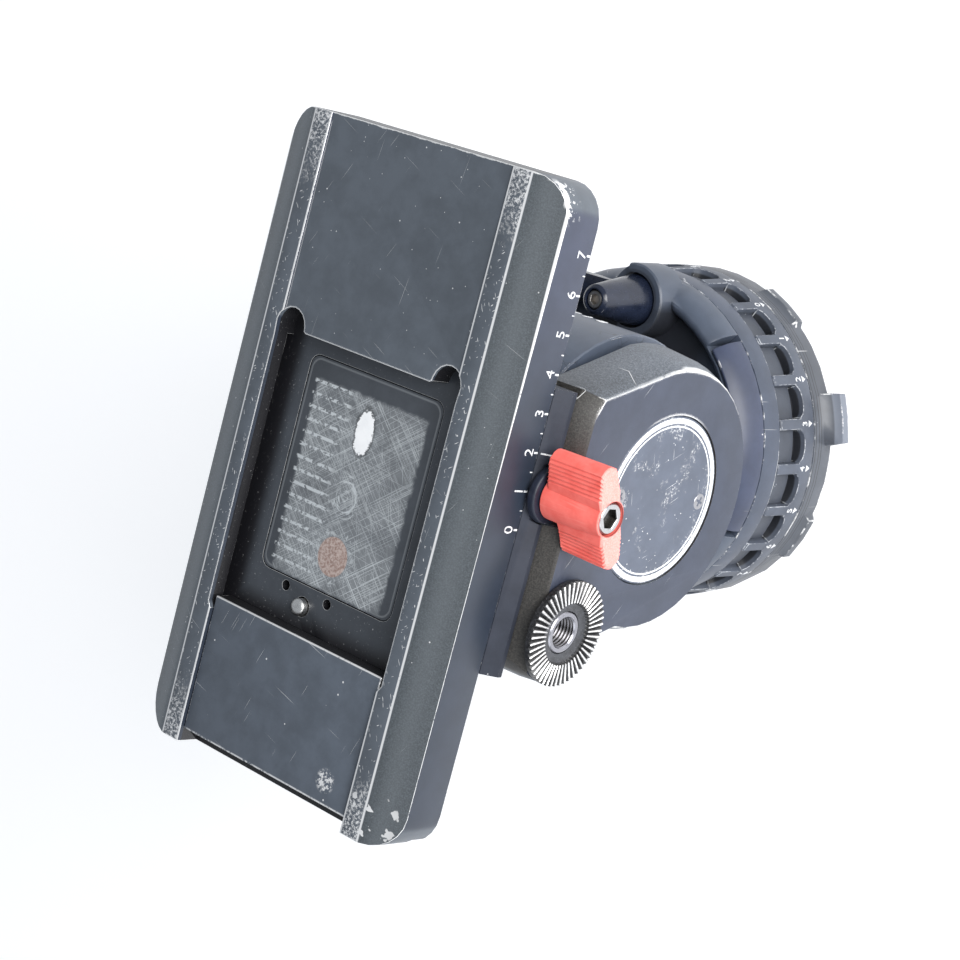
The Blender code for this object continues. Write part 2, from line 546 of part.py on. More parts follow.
def build_platform(parent, paint, plate, steel):
    outline = rounded_rectangle(-PLATFORM_HALF, PLATFORM_HALF, PLATFORM_REAR, PLATFORM_FRONT,
                                CORNER_RADIUS)
    platform = add("sliding_platform", prism(outline, PLATFORM_BOTTOM, RAIL_TOP), paint, parent)
    slope = (RAIL_TOP - SIDE_TOP) / (PLATFORM_HALF - RAIL_OUTER)
    for side in (1.0, -1.0):
        wedge = [(side * RAIL_OUTER, RAIL_TOP), (side * 60.0, RAIL_TOP - slope * (60.0 - RAIL_OUTER)),
                 (side * 60.0, 80.0), (side * RAIL_OUTER, 80.0)]
        cut(platform, prism(wedge, -120.0, 120.0, "Y"))
        groove = sorted((side * (POCKET_HALF - 1.0), side * 36.0))
        cut(platform, block(*groove, -57.0, 16.0, POCKET_FLOOR, 57.9))
        trough = sorted((side * 33.5, side * 45.0))
        cut(platform, block(*trough, -110.0, CHANNEL_FRONT, 40.0, 50.0))
    cut(platform, block(-RAIL_INNER, RAIL_INNER, 5.0, 90.0, FRONT_FLAT, 80.0))
    cut(platform, prism(pocket_outline(), POCKET_FLOOR, 80.0))
    dovetail = [(24.3, 40.0), (30.5, 51.3), (-30.5, 51.3), (-24.3, 40.0)]
    cut(platform, prism(dovetail, -110.0, CHANNEL_FRONT, "Y"))
    label = rounded_rectangle(-24.4, 24.4, -45.0, 13.6, 3.2, 4)
    cut(platform, prism(label, 54.4, 60.0))
    add("pocket_plate", prism(rounded_rectangle(-24.1, 24.1, -44.7, 13.3, 2.9, 4), 54.7, POCKET_FLOOR),
        plate, parent)
    for x in (-13.5, 2.2):
        cut(platform, rod(1.4, 52.6, 60.0, segments=20), (x, -47.3, 0.0))
    cut(platform, rod(2.7, 52.2, 60.0, segments=28), (PIN_X, PIN_Y, 0.0))
    insert = block(-31.5, 31.5, INSERT_REAR, INSERT_FRONT, POCKET_FLOOR + CLEAR, 61.7)
    add("rear_insert", insert, paint, parent)
    for y, name in ((66.0, "front"), (-67.5, "rear")):
        add(f"slide_stop_{name}", rod(2.0, 46.4, 51.0, segments=20, chamfer=0.3), steel, parent,
            (0.0, y, 0.0))
    washer = [(1.2, 53.0), (2.3, 52.5), (2.3, 52.9), (1.2, 53.4)]
    add("release_pin_spring", turned(washer, segments=24), steel, parent, (PIN_X, PIN_Y, 0.0))


def build_release_pin(parent, steel):
    add("release_pin", rod(2.35, 55.0, 58.2, segments=28, chamfer=0.4), steel, parent)


# ---- assembly --------------------------------------------------------------------------------
def build():
    clear_scene()
    paint = finish("anodised_blue_grey", (0.085, 0.092, 0.105), 0.5, 0.35)
    dark = finish("dark_casting", (0.012, 0.012, 0.013), 0.6, 0.1)
    olive = finish("olive_grey_casting", (0.07, 0.072, 0.07), 0.55, 0.3)
    black = finish("black_anodised", (0.015, 0.015, 0.017), 0.35, 0.3)
    rubber = finish("grip_plastic", (0.06, 0.065, 0.072), 0.55, 0.0)
    plate = finish("scuffed_label_plate", (0.1, 0.105, 0.115), 0.4, 0.4)
    steel = finish("bright_steel", (0.6, 0.6, 0.6), 0.28, 1.0)
    red = finish("red_lever_plastic", (0.78, 0.09, 0.06), 0.5, 0.0)
    plastic = finish("white_slide_plastic", (0.75, 0.75, 0.72), 0.4, 0.0)
    glass = finish("level_glass", (0.5, 0.8, 0.2), 0.1, 0.0)

    base = axis_empty("ball_centre", (0.0, 0.0, 0.0))
    build_base(base, paint, steel, dark)
    build_drag_ring(axis_empty("pan_drag_axis", (0.0, 0.0, 0.0), base), rubber)
    pan = axis_empty("pan_axis", (0.0, 0.0, 0.0), base)
    build_pan_housing(pan, paint, dark, steel, dark, glass)
    build_pan_brake(axis_empty("pan_brake_axis", (KNOB_X, KNOB_Y, 0.0), pan), black, steel)

    tilt = axis_empty("tilt_axis", (0.0, 0.0, TILT_HEIGHT), pan, REST_TILT)
    build_tilt_frame(tilt, olive, paint, black, steel, plastic)
    build_clamp_lever(axis_empty("clamp_lever_axis", (0.0, LEVER_Y, LEVER_Z), tilt), red, black, steel)
    build_left_controls(axis_empty("tilt_drag_axis", (0.0, 0.0, 0.0), tilt),
                        axis_empty("counterbalance_axis", (0.0, 0.0, 0.0), tilt),
                        axis_empty("tilt_brake_axis", (0.0, 17.0, 31.5), tilt), black, steel)
    slide = axis_empty("platform_slide_axis", (0.0, 0.0, 0.0), tilt)
    build_platform(slide, paint, plate, steel)
    build_release_pin(axis_empty("release_pin_axis", (PIN_X, PIN_Y, 0.0), slide), steel)


build()
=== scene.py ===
"""Looks for the fluid video head: refined meshes, worn finishes, a plain studio and the camera.

Lengths below are millimetres. The row frame has its origin at the centre of the half-ball. The
tilt frame has its origin on the tilt axis, +X to the clamp lever and +Y along the platform.
"""
import json
import math

import bmesh
import bpy
from mathutils import Matrix, Vector

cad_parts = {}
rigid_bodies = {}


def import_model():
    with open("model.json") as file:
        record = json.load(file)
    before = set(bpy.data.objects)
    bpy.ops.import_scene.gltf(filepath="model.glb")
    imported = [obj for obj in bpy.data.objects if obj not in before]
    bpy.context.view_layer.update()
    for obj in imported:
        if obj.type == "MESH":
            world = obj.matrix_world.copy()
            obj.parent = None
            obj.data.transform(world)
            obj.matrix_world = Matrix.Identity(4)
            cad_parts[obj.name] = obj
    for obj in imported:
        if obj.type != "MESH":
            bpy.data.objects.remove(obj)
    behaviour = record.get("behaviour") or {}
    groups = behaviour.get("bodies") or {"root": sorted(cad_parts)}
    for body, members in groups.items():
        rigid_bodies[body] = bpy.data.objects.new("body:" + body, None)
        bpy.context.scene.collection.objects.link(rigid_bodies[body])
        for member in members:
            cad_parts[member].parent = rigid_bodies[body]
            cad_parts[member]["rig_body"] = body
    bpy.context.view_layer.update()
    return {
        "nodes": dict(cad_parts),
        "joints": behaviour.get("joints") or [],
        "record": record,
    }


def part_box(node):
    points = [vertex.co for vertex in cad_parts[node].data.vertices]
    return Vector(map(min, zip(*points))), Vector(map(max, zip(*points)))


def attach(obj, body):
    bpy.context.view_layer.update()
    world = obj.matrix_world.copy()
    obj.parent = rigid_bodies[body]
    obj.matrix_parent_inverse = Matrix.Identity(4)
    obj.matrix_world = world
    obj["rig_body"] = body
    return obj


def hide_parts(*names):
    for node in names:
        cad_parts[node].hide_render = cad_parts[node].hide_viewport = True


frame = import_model()

MM = 0.001
JOINTS = {joint["name"]: joint for joint in frame["joints"]}
TILT_ORIGIN = Vector(JOINTS["tilt"]["pos_m"])
SLIDE_AXIS = Vector(JOINTS["platform_slide"]["axis"])
REST_TILT = math.atan2(SLIDE_AXIS.z, SLIDE_AXIS.y)
TILT_FRAME = Matrix.Translation(TILT_ORIGIN) @ Matrix.Rotation(REST_TILT, 4, "X")
ROW_FRAME = Matrix.Identity(4)
Y_UNIT, Z_UNIT = Vector((0.0, 1.0, 0.0)), Vector((0.0, 0.0, 1.0))


def tilt_box(node):
    """Lowest and highest corner of a CAD node in the tilt frame, in millimetres."""
    inverse = TILT_FRAME.inverted()
    points = [inverse @ v.co / MM for v in frame["nodes"][node].data.vertices]
    return (Vector([min(p[k] for p in points) for k in range(3)]),
            Vector([max(p[k] for p in points) for k in range(3)]))


# ---- sizes read from the frame --------------------------------------------------------------
PLATFORM_LOW, PLATFORM_HIGH = tilt_box("sliding_platform")
INSERT_LOW, INSERT_HIGH = tilt_box("rear_insert")
PLATE_LOW, PLATE_HIGH = tilt_box("pocket_plate")
DISC_LOW, DISC_HIGH = tilt_box("cover_disc")
DISC_RADIUS = (DISC_HIGH.z - DISC_LOW.z) / 2
ROSETTE_LOW, ROSETTE_HIGH = tilt_box("right_rosette")
ROSETTE_Y = (ROSETTE_LOW.y + ROSETTE_HIGH.y) / 2
ROSETTE_Z = (ROSETTE_LOW.z + ROSETTE_HIGH.z) / 2
ROSETTE_RADIUS = (ROSETTE_HIGH.z - ROSETTE_LOW.z) / 2
COLLAR_LOW, COLLAR_HIGH = tilt_box("clamp_lever_collar")
LEVER_Y = (COLLAR_LOW.y + COLLAR_HIGH.y) / 2
LEVER_Z = (COLLAR_LOW.z + COLLAR_HIGH.z) / 2
LEVER_LOW, LEVER_HIGH = tilt_box("clamp_lever")
RING_LOW, RING_HIGH = [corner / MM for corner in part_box("pan_drag_ring")]
RING_BAND = RING_LOW.z + 6.4  # top of the ring's plain numbered band
PIN_LOW, PIN_HIGH = tilt_box("release_pin")
DRUM_RADIUS = (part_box("pan_housing")[1].z - TILT_ORIGIN.z) / MM
KNOB_AXIS = Vector(JOINTS["pan_brake_turn"]["pos_m"]) / MM

# ---- details that only the looks have: RING_ in the row frame, the rest in the tilt frame ------
RAIL_OUTER, RAIL_INNER = 38.0, 31.8
POCKET_HALF, POCKET_FRONT = 33.0, 18.3
FRONT_FLAT = 62.2            # height of the platform's flat front part
SIDE_TOP = 58.3              # top edge of the platform's vertical side face
SCALE_ZERO, SCALE_STEP, SCALE_MARKS = -11.5, 10.0, 8
LEVER_ANGLE = math.radians(25.0)
ROSETTE_TEETH = 48
RING_PITCH, RING_PHASE = 15.0, 3.7
RING_ZERO = 63.7             # azimuth of the drag ring's numeral 0
NUMERAL_SHARE = 0.7          # height of a numeral, as a share of its font's size


# ---- shapes: lists of vertices and faces in millimetres ---------------------------------------
def arc(cx, cy, radius, start, end, steps):
    angles = [math.radians(start + (end - start) * k / steps) for k in range(steps + 1)]
    return [(cx + radius * math.cos(a), cy + radius * math.sin(a)) for a in angles]


def oriented(u, v, w, axis):
    """A point u, v across the axis and w along it."""
    return {"X": (w, u, v), "Y": (u, w, v), "Z": (u, v, w)}[axis]


def loft(loops, closed=False):
    """Skin equal loops in turn; the ends are capped, or joined when closed."""
    count = len(loops[0])
    verts = [tuple(point) for loop in loops for point in loop]
    faces = []
    last = len(loops) if closed else len(loops) - 1
    for row in range(last):
        a, b = row * count, (row + 1) % len(loops) * count
        for k in range(count):
            n = (k + 1) % count
            faces.append((a + k, a + n, b + n, b + k))
    if not closed:
        faces.append(tuple(reversed(range(count))))
        faces.append(tuple(range(len(verts) - count, len(verts))))
    return verts, faces


def turned(profile, axis="Z", segments=96):
    """Turn a closed (radius, height) profile a full circle about an axis."""
    loops = []
    for k in range(segments):
        a = 2.0 * math.pi * k / segments
        loops.append([oriented(r * math.cos(a), r * math.sin(a), h, axis) for r, h in profile])
    return loft(loops, closed=True)


def stepped(outlines, sides, axis):
    """Skin outlines along an axis; each has a radius, or a radius for every angle, and a height."""
    angles = [2.0 * math.pi * k / sides for k in range(sides)]
    loops = []
    for radius, height in outlines:
        radii = [radius(a) if callable(radius) else radius for a in angles]
        loops.append([oriented(r * math.cos(a), r * math.sin(a), height, axis)
                      for r, a in zip(radii, angles)])
    return loft(loops)


def prism(outline, low, high, axis="Z"):
    return loft([[oriented(u, v, w, axis) for u, v in outline] for w in (low, high)])


def block(x0, x1, y0, y1, z0, z1):
    return prism([(x0, y0), (x1, y0), (x1, y1), (x0, y1)], z0, z1)


def rounded_rectangle(x0, x1, y0, y1, radius):
    corners = ((x1 - radius, y1 - radius), (x0 + radius, y1 - radius), (x0 + radius, y0 + radius),
               (x1 - radius, y0 + radius))
    return [point for k, (cx, cy) in enumerate(corners)
            for point in arc(cx, cy, radius, 90 * k, 90 * (k + 1), 10)]


def moved(shape, dx=0.0, dy=0.0, dz=0.0):
    verts, faces = shape
    return [(x + dx, y + dy, z + dz) for x, y, z in verts], faces


def lettering(text, height, thickness, middle, along, up):
    """A generic numeral as a thin solid round a point; along is its reading direction."""
    curve = bpy.data.curves.new("numeral", "FONT")
    curve.body = text
    curve.align_x = "CENTER"
    curve.align_y = "CENTER"
    curve.size = height * MM / NUMERAL_SHARE
    curve.extrude = thickness * MM / 2
    curve.resolution_u = 4
    carrier = bpy.data.objects.new("numeral", curve)
    bpy.context.scene.collection.objects.link(carrier)
    mesh = bpy.data.meshes.new_from_object(carrier)
    turn = Matrix((along, up, along.cross(up))).transposed()
    verts = [tuple(middle + turn @ v.co / MM) for v in mesh.vertices]
    faces = [tuple(face.vertices) for face in mesh.polygons]
    bpy.data.objects.remove(carrier)
    bpy.data.curves.remove(curve)
    bpy.data.meshes.remove(mesh)
    return verts, faces


# ---- objects ----------------------------------------------------------------------------------
def soften(bm, width, angle, segments, layer):
    """Bevel the edges sharper than angle, and mark the new faces of the convex ones as edges."""
    sharp = [e for e in bm.edges if len(e.link_faces) == 2 and e.is_convex
             and e.calc_face_angle(0.0) > math.radians(angle) and e.calc_length() > 1e-6]
    made = bmesh.ops.bevel(bm, geom=sharp, offset=width * MM, offset_type="OFFSET",
                           segments=segments, profile=0.6, affect="EDGES", clamp_overlap=True)
    for face in made["faces"]:
        face[layer] = 1.0


def add_shape(bm, shape, place):
    verts, faces = shape
    made = [bm.verts.new(place @ (Vector(v) * MM)) for v in verts]
    for face in faces:
        bm.faces.new([made[k] for k in face])


def finish_object(name, bm, material, body, replaced, width, angle, segments):
    layer = bm.faces.layers.float.new("edge")
    if width:
        soften(bm, width, angle, segments, layer)
    mesh = bpy.data.meshes.new(name)
    bm.to_mesh(mesh)
    bm.free()
    mesh.shade_smooth()
    mesh.set_sharp_from_angle(angle=math.radians(32.0))
    mesh.materials.append(material)
    obj = bpy.data.objects.new(name, mesh)
    bpy.context.scene.collection.objects.link(obj)
    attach(obj, body)
    if replaced:
        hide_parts(*replaced)
    return obj


def build(name, shapes, material, body, place=TILT_FRAME, replaced=(), width=0.0, angle=28.0,
          segments=2):
    """One new piece from shapes laid out in a frame, in millimetres."""
    bm = bmesh.new()
    for shape in shapes:
        add_shape(bm, shape, place)
    bmesh.ops.remove_doubles(bm, verts=bm.verts, dist=1e-7)
    bmesh.ops.recalc_face_normals(bm, faces=bm.faces)
    return finish_object(name, bm, material, body, replaced, width, angle, segments)


def refine(node, name, material, width, angle=28.0):
    """A CAD node's shape with its facets joined and its convex edges rounded."""
    source = frame["nodes"][node]
    bm = bmesh.new()
    bm.from_mesh(source.data)
    bmesh.ops.remove_doubles(bm, verts=bm.verts, dist=2e-6)
    bmesh.ops.dissolve_limit(bm, angle_limit=math.radians(0.6), verts=bm.verts, edges=bm.edges)
    bmesh.ops.recalc_face_normals(bm, faces=bm.faces)
    return finish_object(name, bm, material, source["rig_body"], (node,), width, angle, 2)


# ---- materials --------------------------------------------------------------------------------
class Value:
    """A node's output, which takes the arithmetic of math nodes."""

    def __init__(self, paint, socket):
        self.paint, self.socket = paint, socket

    def __add__(self, other):
        return self.paint.math("ADD", self, other)

    def __sub__(self, other):
        return self.paint.math("SUBTRACT", self, other)

    def __rsub__(self, other):
        return self.paint.math("SUBTRACT", other, self)

    def __mul__(self, other):
        return self.paint.math("MULTIPLY", self, other)

    def __pow__(self, other):
        return self.paint.math("POWER", self, other)

    def __abs__(self):
        return self.paint.math("ABSOLUTE", self)

    __radd__, __rmul__ = __add__, __mul__


class Paint:
    """One material's node tree. Its places and lengths are millimetres in its frame."""

    def __init__(self, name, place=ROW_FRAME):
        self.material = bpy.data.materials.new(name)
        self.material.use_nodes = True
        self.tree = self.material.node_tree
        self.tree.nodes.clear()
        coordinates = self.node("ShaderNodeTexCoord").outputs
        local, normal = coordinates["Object"], coordinates["Normal"]
        if place is TILT_FRAME:
            local = self.turned(self.vector("SUBTRACT", local, tuple(TILT_ORIGIN)), -REST_TILT)
            normal = self.turned(normal, -REST_TILT)
        self.position = self.vector("SCALE", local, scale=1.0 / MM)
        self.x, self.y, self.z = self.split(self.position)
        self.normal_x, self.normal_y, self.normal_z = self.split(normal)

    def node(self, kind, inputs=None, **settings):
        made = self.tree.nodes.new(kind)
        for key, value in settings.items():
            setattr(made, key, value)
        for key, value in (inputs or {}).items():
            self.feed(made.inputs[key], value)
        return made

    def feed(self, socket, value):
        """Link an output to a socket, or set a constant on it."""
        if isinstance(value, Value):
            value = value.socket
        if isinstance(value, bpy.types.NodeSocket):
            self.tree.links.new(value, socket)
        elif socket.type == "RGBA":
            socket.default_value = (*value[:3], 1.0)
        else:
            socket.default_value = value

    def value(self, made, output=0):
        return Value(self, made.outputs[output])

    def vector(self, operation, a, b=(0.0, 0.0, 0.0), scale=1.0):
        made = self.node("ShaderNodeVectorMath", operation=operation)
        self.feed(made.inputs[0], a)
        if operation == "SCALE":
            self.feed(made.inputs["Scale"], scale)
        else:
            self.feed(made.inputs[1], b)
        return self.value(made, "Value" if operation in ("DOT_PRODUCT", "LENGTH", "DISTANCE") else "Vector")

    def turned(self, vector, angle, axis="X_AXIS"):
        return self.value(self.node("ShaderNodeVectorRotate", {"Vector": vector, "Angle": angle},
                                    rotation_type=axis))

    def split(self, vector):
        made = self.node("ShaderNodeSeparateXYZ", {"Vector": vector})
        return [self.value(made, k) for k in range(3)]

    def joined(self, x, y, z):
        return self.value(self.node("ShaderNodeCombineXYZ", {"X": x, "Y": y, "Z": z}))

    def math(self, operation, a, b=0.0, clamp=False):
        made = self.node("ShaderNodeMath", operation=operation, use_clamp=clamp)
        self.feed(made.inputs[0], a)
        self.feed(made.inputs[1], b)
        return self.value(made)

    def most(self, *values):
        total = values[0]
        for value in values[1:]:
            total = self.math("MAXIMUM", total, value)
        return total

    def ramp(self, value, low, high, out_low=0.0, out_high=1.0):
        """A smooth step: out_low up to low, out_high from high."""
        made = self.node("ShaderNodeMapRange", interpolation_type="SMOOTHSTEP")
        for key, entry in zip(("Value", "From Min", "From Max", "To Min", "To Max"),
                              (value, low, high, out_low, out_high)):
            self.feed(made.inputs[key], entry)
        return self.value(made, "Result")

    def within(self, value, low, high, soft=0.15):
        """1 between low and high, with soft ends."""
        return self.ramp(value, low - soft, low + soft) * self.ramp(value, high - soft, high + soft, 1.0, 0.0)

    def near(self, value, at, reach, soft=0.15):
        return self.within(value, at - reach, at + reach, soft)

    def from_x_line(self, y, z):
        """Distance from a line along X."""
        return self.vector("LENGTH", self.joined(0.0, self.y - y, self.z - z))

    def from_z_line(self, x=0.0, y=0.0):
        """Distance from a line along Z."""
        return self.vector("LENGTH", self.joined(self.x - x, self.y - y, 0.0))

    def noise(self, scale, detail=3.0, roughness=0.55, vector=None):
        """Fractal noise, with scale in waves per millimetre."""
        return self.value(self.node("ShaderNodeTexNoise", {"Vector": vector or self.position, "Scale": scale,
                                                           "Detail": detail, "Roughness": roughness}))

    def patches(self, scale, low, high, detail=4.0, roughness=0.7):
        """Noise cut into patches: 0 where it is below low, 1 where it is above high."""
        return self.ramp(self.noise(scale, detail, roughness), low, high)

    def ragged(self, coarse, fine, coarse_share=0.6, fine_share=0.5, roughness=0.7):
        """Coarse noise with fine noise on it, which decides where an edge is worn."""
        return self.noise(coarse, 4.0, roughness) * coarse_share + self.noise(fine, 4.0, 0.7) * fine_share

    def cells(self, scale, vector=None, feature="F1"):
        return self.node("ShaderNodeTexVoronoi", {"Vector": vector or self.position, "Scale": scale},
                         feature=feature).outputs

    def mix(self, factor, a, b):
        made = self.node("ShaderNodeMix", data_type="RGBA")
        for socket, value in ((0, factor), (6, a), (7, b)):
            self.feed(made.inputs[socket], value)
        return self.value(made, 2)

    def edge(self):
        """1 on the faces that soften() marked."""
        return self.value(self.node("ShaderNodeAttribute", attribute_name="edge"), "Fac")

    def worn_edge(self, ragged, start, width=0.14):
        """The marked edges, wherever ragged is above start."""
        return self.edge() * self.ramp(ragged, start, start + width)

    def rim(self, radius, gain):
        """From 0 on a flat face to about 1 on an edge, over a radius in millimetres.

        A gain of 3.4 suits square edges; the 45 degree ones need about 12.
        """
        bevel = self.node("ShaderNodeBevel", {"Radius": radius * MM}, samples=6)
        true_normal = self.node("ShaderNodeNewGeometry").outputs["Normal"]
        turn = self.vector("DOT_PRODUCT", bevel.outputs["Normal"], true_normal)
        return self.math("MULTIPLY", 1.0 - turn, gain, clamp=True)

    def specks(self, scale, size, share):
        """Small round dots: cells per millimetre, dot size in cells, and the share that show."""
        found = self.cells(scale)
        chosen = self.split(found["Color"])[0]
        return (self.ramp(found["Distance"], size, size * 0.6)
                * self.ramp(chosen, 1.0 - share, 1.0 - share + 0.02))

    def scratches(self, angle, length, spacing, share, seed=0.0, axis="Z_AXIS"):
        """Thin marks along one direction across an axis; more of them show as share rises."""
        x, y, z = self.split(self.turned(self.position, math.radians(angle), axis))
        bend = self.noise(0.03, 1.0) * 3.0
        if axis == "Z_AXIS":
            spread = self.joined(x * (1.0 / length), y * (1.0 / spacing) + bend, z * 0.05 + seed)
        else:
            spread = self.joined(x * 0.05 + seed, y * (1.0 / length), z * (1.0 / spacing) + bend)
        return self.ramp(self.noise(1.0, 1.0, vector=spread), 1.0 - share, 1.0 - share + 0.035)

    def crossed(self, *marks):
        """Several sets of scratches over each other."""
        return self.most(*(self.scratches(*mark) for mark in marks))

    def output(self, colour, roughness, metallic=0.0, height=None, strength=0.3, distance=0.05,
               **constants):
        shader = self.node("ShaderNodeBsdfPrincipled",
                           {"Base Color": colour, "Roughness": roughness, "Metallic": metallic})
        for key, value in constants.items():
            shader.inputs[key.replace("_", " ").title().replace("Ior", "IOR")].default_value = value
        if height is not None:
            bump = self.node("ShaderNodeBump", {"Height": height, "Strength": strength,
                                                "Distance": distance * MM})
            self.feed(shader.inputs["Normal"], bump.outputs["Normal"])
        self.node("ShaderNodeOutputMaterial", {"Surface": shader.outputs["BSDF"]})
        return self.material


BARE = (0.80, 0.80, 0.80)
BLUE_GREY = (0.074, 0.087, 0.105)
OLIVE = (0.055, 0.064, 0.072)
NEAR_BLACK = (0.012, 0.012, 0.014)
PITCH_BLACK = (0.006, 0.006, 0.008)


def scaled(colour, factor):
    return tuple(factor * c for c in colour)


def metal_shading(p, base, wear, height=None, base_rough=0.45, bare_rough=0.3, strength=0.25,
                  distance=0.05):
    """A dark finish with bare metal where wear is 1."""
    roughness = p.ramp(wear, 0.0, 1.0, base_rough, bare_rough)
    return p.output(p.mix(wear, base, BARE), roughness, wear * 0.55, height, strength, distance)


def tinted(p, colour, amount=0.25, scale=0.12):
    """A colour that drifts a little lighter and darker over the surface."""
    return p.mix(p.ramp(p.noise(scale, 5.0, 0.65), 0.3, 0.7), scaled(colour, 1.0 - amount),
                 scaled(colour, 1.0 + amount))


def platform_finish():
    """Worn anodising: bright lines on the edges, grey flanks, speckled rails, and painted shade in the
    pocket, on the front face and towards the rear of the side faces.
    """
    p = Paint("platform_finish", TILT_FRAME)
    side = abs(p.x)
    coarse, fine = p.noise(0.25, 4.0, 0.7), p.noise(1.6, 4.0, 0.7)
    ragged = coarse * 0.6 + fine * 0.5
    front, edge_x = PLATFORM_HIGH.y, PLATFORM_HIGH.x
    top = p.ramp(p.normal_z, 0.8, 0.95)
    facing_up = p.ramp(p.normal_z, 0.5, 0.8)
    forward = p.ramp(p.y, PLATFORM_LOW.y, front)

    # the finish itself: grained flanks, paler on the left, and blue side faces with painted shade that
    # darkens them towards the rear
    grain = p.noise(2.5, 3.0, 0.8)
    olive = p.mix(p.ramp(grain, 0.35, 0.75), scaled(OLIVE, 0.72), scaled(OLIVE, 1.5))
    olive = p.mix(p.near(side, 43.0, 2.4, 2.2) * 0.30, olive, (0.105, 0.118, 0.130))
    olive = p.mix(p.ramp(p.x, 0.0, -1.0), olive, p.vector("MULTIPLY", olive, (1.55, 1.60, 1.65)))
    flank = p.ramp(side, RAIL_OUTER + 0.2, RAIL_OUTER + 0.6) * p.ramp(p.normal_z, 0.6, 0.8)
    base = p.mix(flank, tinted(p, BLUE_GREY, 0.12), olive)
    # painted shade: the side faces go darker from the front towards the rear
    side_tone_with_painted_shade = p.mix(p.ramp(p.y, 12.0, 62.0), tinted(p, (0.021, 0.028, 0.043), 0.10),
                      tinted(p, (0.034, 0.041, 0.068), 0.10))
    base = p.mix(p.ramp(abs(p.normal_x), 0.9, 0.98), base, side_tone_with_painted_shade)

    # the pocket's walls and floor darkened with painted shade, darkest along its left side and rear
    in_pocket = (p.ramp(side, POCKET_HALF + 3.2, POCKET_HALF + 3.0)
                 * p.ramp(p.y, POCKET_FRONT + 6.0, POCKET_FRONT + 5.5)
                 * p.ramp(p.z, FRONT_FLAT - 0.7, FRONT_FLAT - 0.9))
    left_groove_shade = p.ramp(p.x, -POCKET_HALF + 7.0, -POCKET_HALF + 2.0, 0.55, 1.0)
    rear_groove_shade = p.ramp(p.y, -50.0, -56.0, 0.0, 0.45)
    wall = in_pocket * (1.0 - top)
    # painted shade: the pocket's walls are set near black
    base = p.mix(wall, base, NEAR_BLACK)
    # painted shade on the pocket floor, deepest along its left side and rear
    base = p.mix(in_pocket * top * p.most(left_groove_shade, rear_groove_shade + 0.55), base, PITCH_BLACK)
    # painted shade: the platform's front face is darkened almost to black
    front_face_painted_shade = p.ramp(p.normal_y, 0.6, 0.8) * p.ramp(side, 40.0, 37.0)
    base = p.mix(front_face_painted_shade * 0.85, base, PITCH_BLACK)

    # worn lines along the edges
    pocket_lip = p.within(p.y, 11.0, 27.0, 2.0) * p.ramp(side, 37.0, 34.0)
    eager = p.ramp(p.y, 55.0, 70.0) * 0.30 + pocket_lip * 0.25 + p.normal_z * 0.18
    edge_wear = p.worn_edge(ragged + eager, 0.50)
    bare_lip = p.rim(0.75, 8.0) + fine * 0.5 + pocket_lip * 0.12
    inner_edges = (p.ramp(bare_lip, 0.56, 0.70) * top * p.ramp(side, 37.0, 36.0)
                   * p.ramp(p.z, FRONT_FLAT - 0.5, FRONT_FLAT - 0.3)
                   * p.ramp(ragged + pocket_lip * 0.3, 0.34, 0.46) * p.ramp(p.y, front - 2.0, front - 3.0))
    chipped = p.y + coarse + fine * 0.5
    front_line = p.ramp(chipped, front + 0.40, front + 0.60) * facing_up * p.ramp(ragged, 0.36, 0.48)
    from_corner = p.vector("DISTANCE", p.joined(p.x, p.y, 0.0), (edge_x - 6.0, front - 6.0, 0.0))
    corner = (p.ramp(from_corner + coarse * 2.0, 5.4, 5.9) * facing_up * p.ramp(ragged, 0.36, 0.50)
              * p.ramp(p.x, edge_x - 7.0, edge_x - 5.0) * p.ramp(p.y, front - 7.0, front - 5.0))
    above = abs(p.z - SIDE_TOP)
    swell = forward ** 3.0 * 0.5
    side_line = (p.ramp(side + swell, edge_x - 0.12, edge_x + 0.02)
                 * p.ramp(above - swell + fine * 0.3, 0.20, 0.06)
                 * p.ramp(ragged + forward * 0.12, 0.42, 0.54))

    # speckled ends and short nicks on the rails
    rail = (p.within(side, RAIL_INNER + 0.1, RAIL_OUTER) * top
            * p.ramp(p.z, FRONT_FLAT + 0.2, FRONT_FLAT + 0.4))
    speckle = p.ramp(p.noise(1.2, 5.0, 0.85) + p.ramp(p.y, 70.0, 84.0) * 0.08, 0.50, 0.57)
    rail_ends = p.most(p.ramp(p.y + coarse * 26.0, 66.0, 84.0), p.ramp(p.y + coarse * 14.0, -72.0, -86.0))
    nicks = p.crossed((62.0, 2.6, 0.45, 0.30, 3.0), (-35.0, 2.2, 0.4, 0.29, 7.0))
    rail_wear = rail * p.most(rail_ends * speckle, nicks)
    rail_lines = (top * p.ramp(p.z, FRONT_FLAT + 0.1, FRONT_FLAT + 0.3) * p.ramp(ragged, 0.34, 0.46)
                  * p.most(p.near(side, RAIL_INNER + 0.2, 0.30, 0.12), p.near(side, RAIL_OUTER, 0.28, 0.12)))

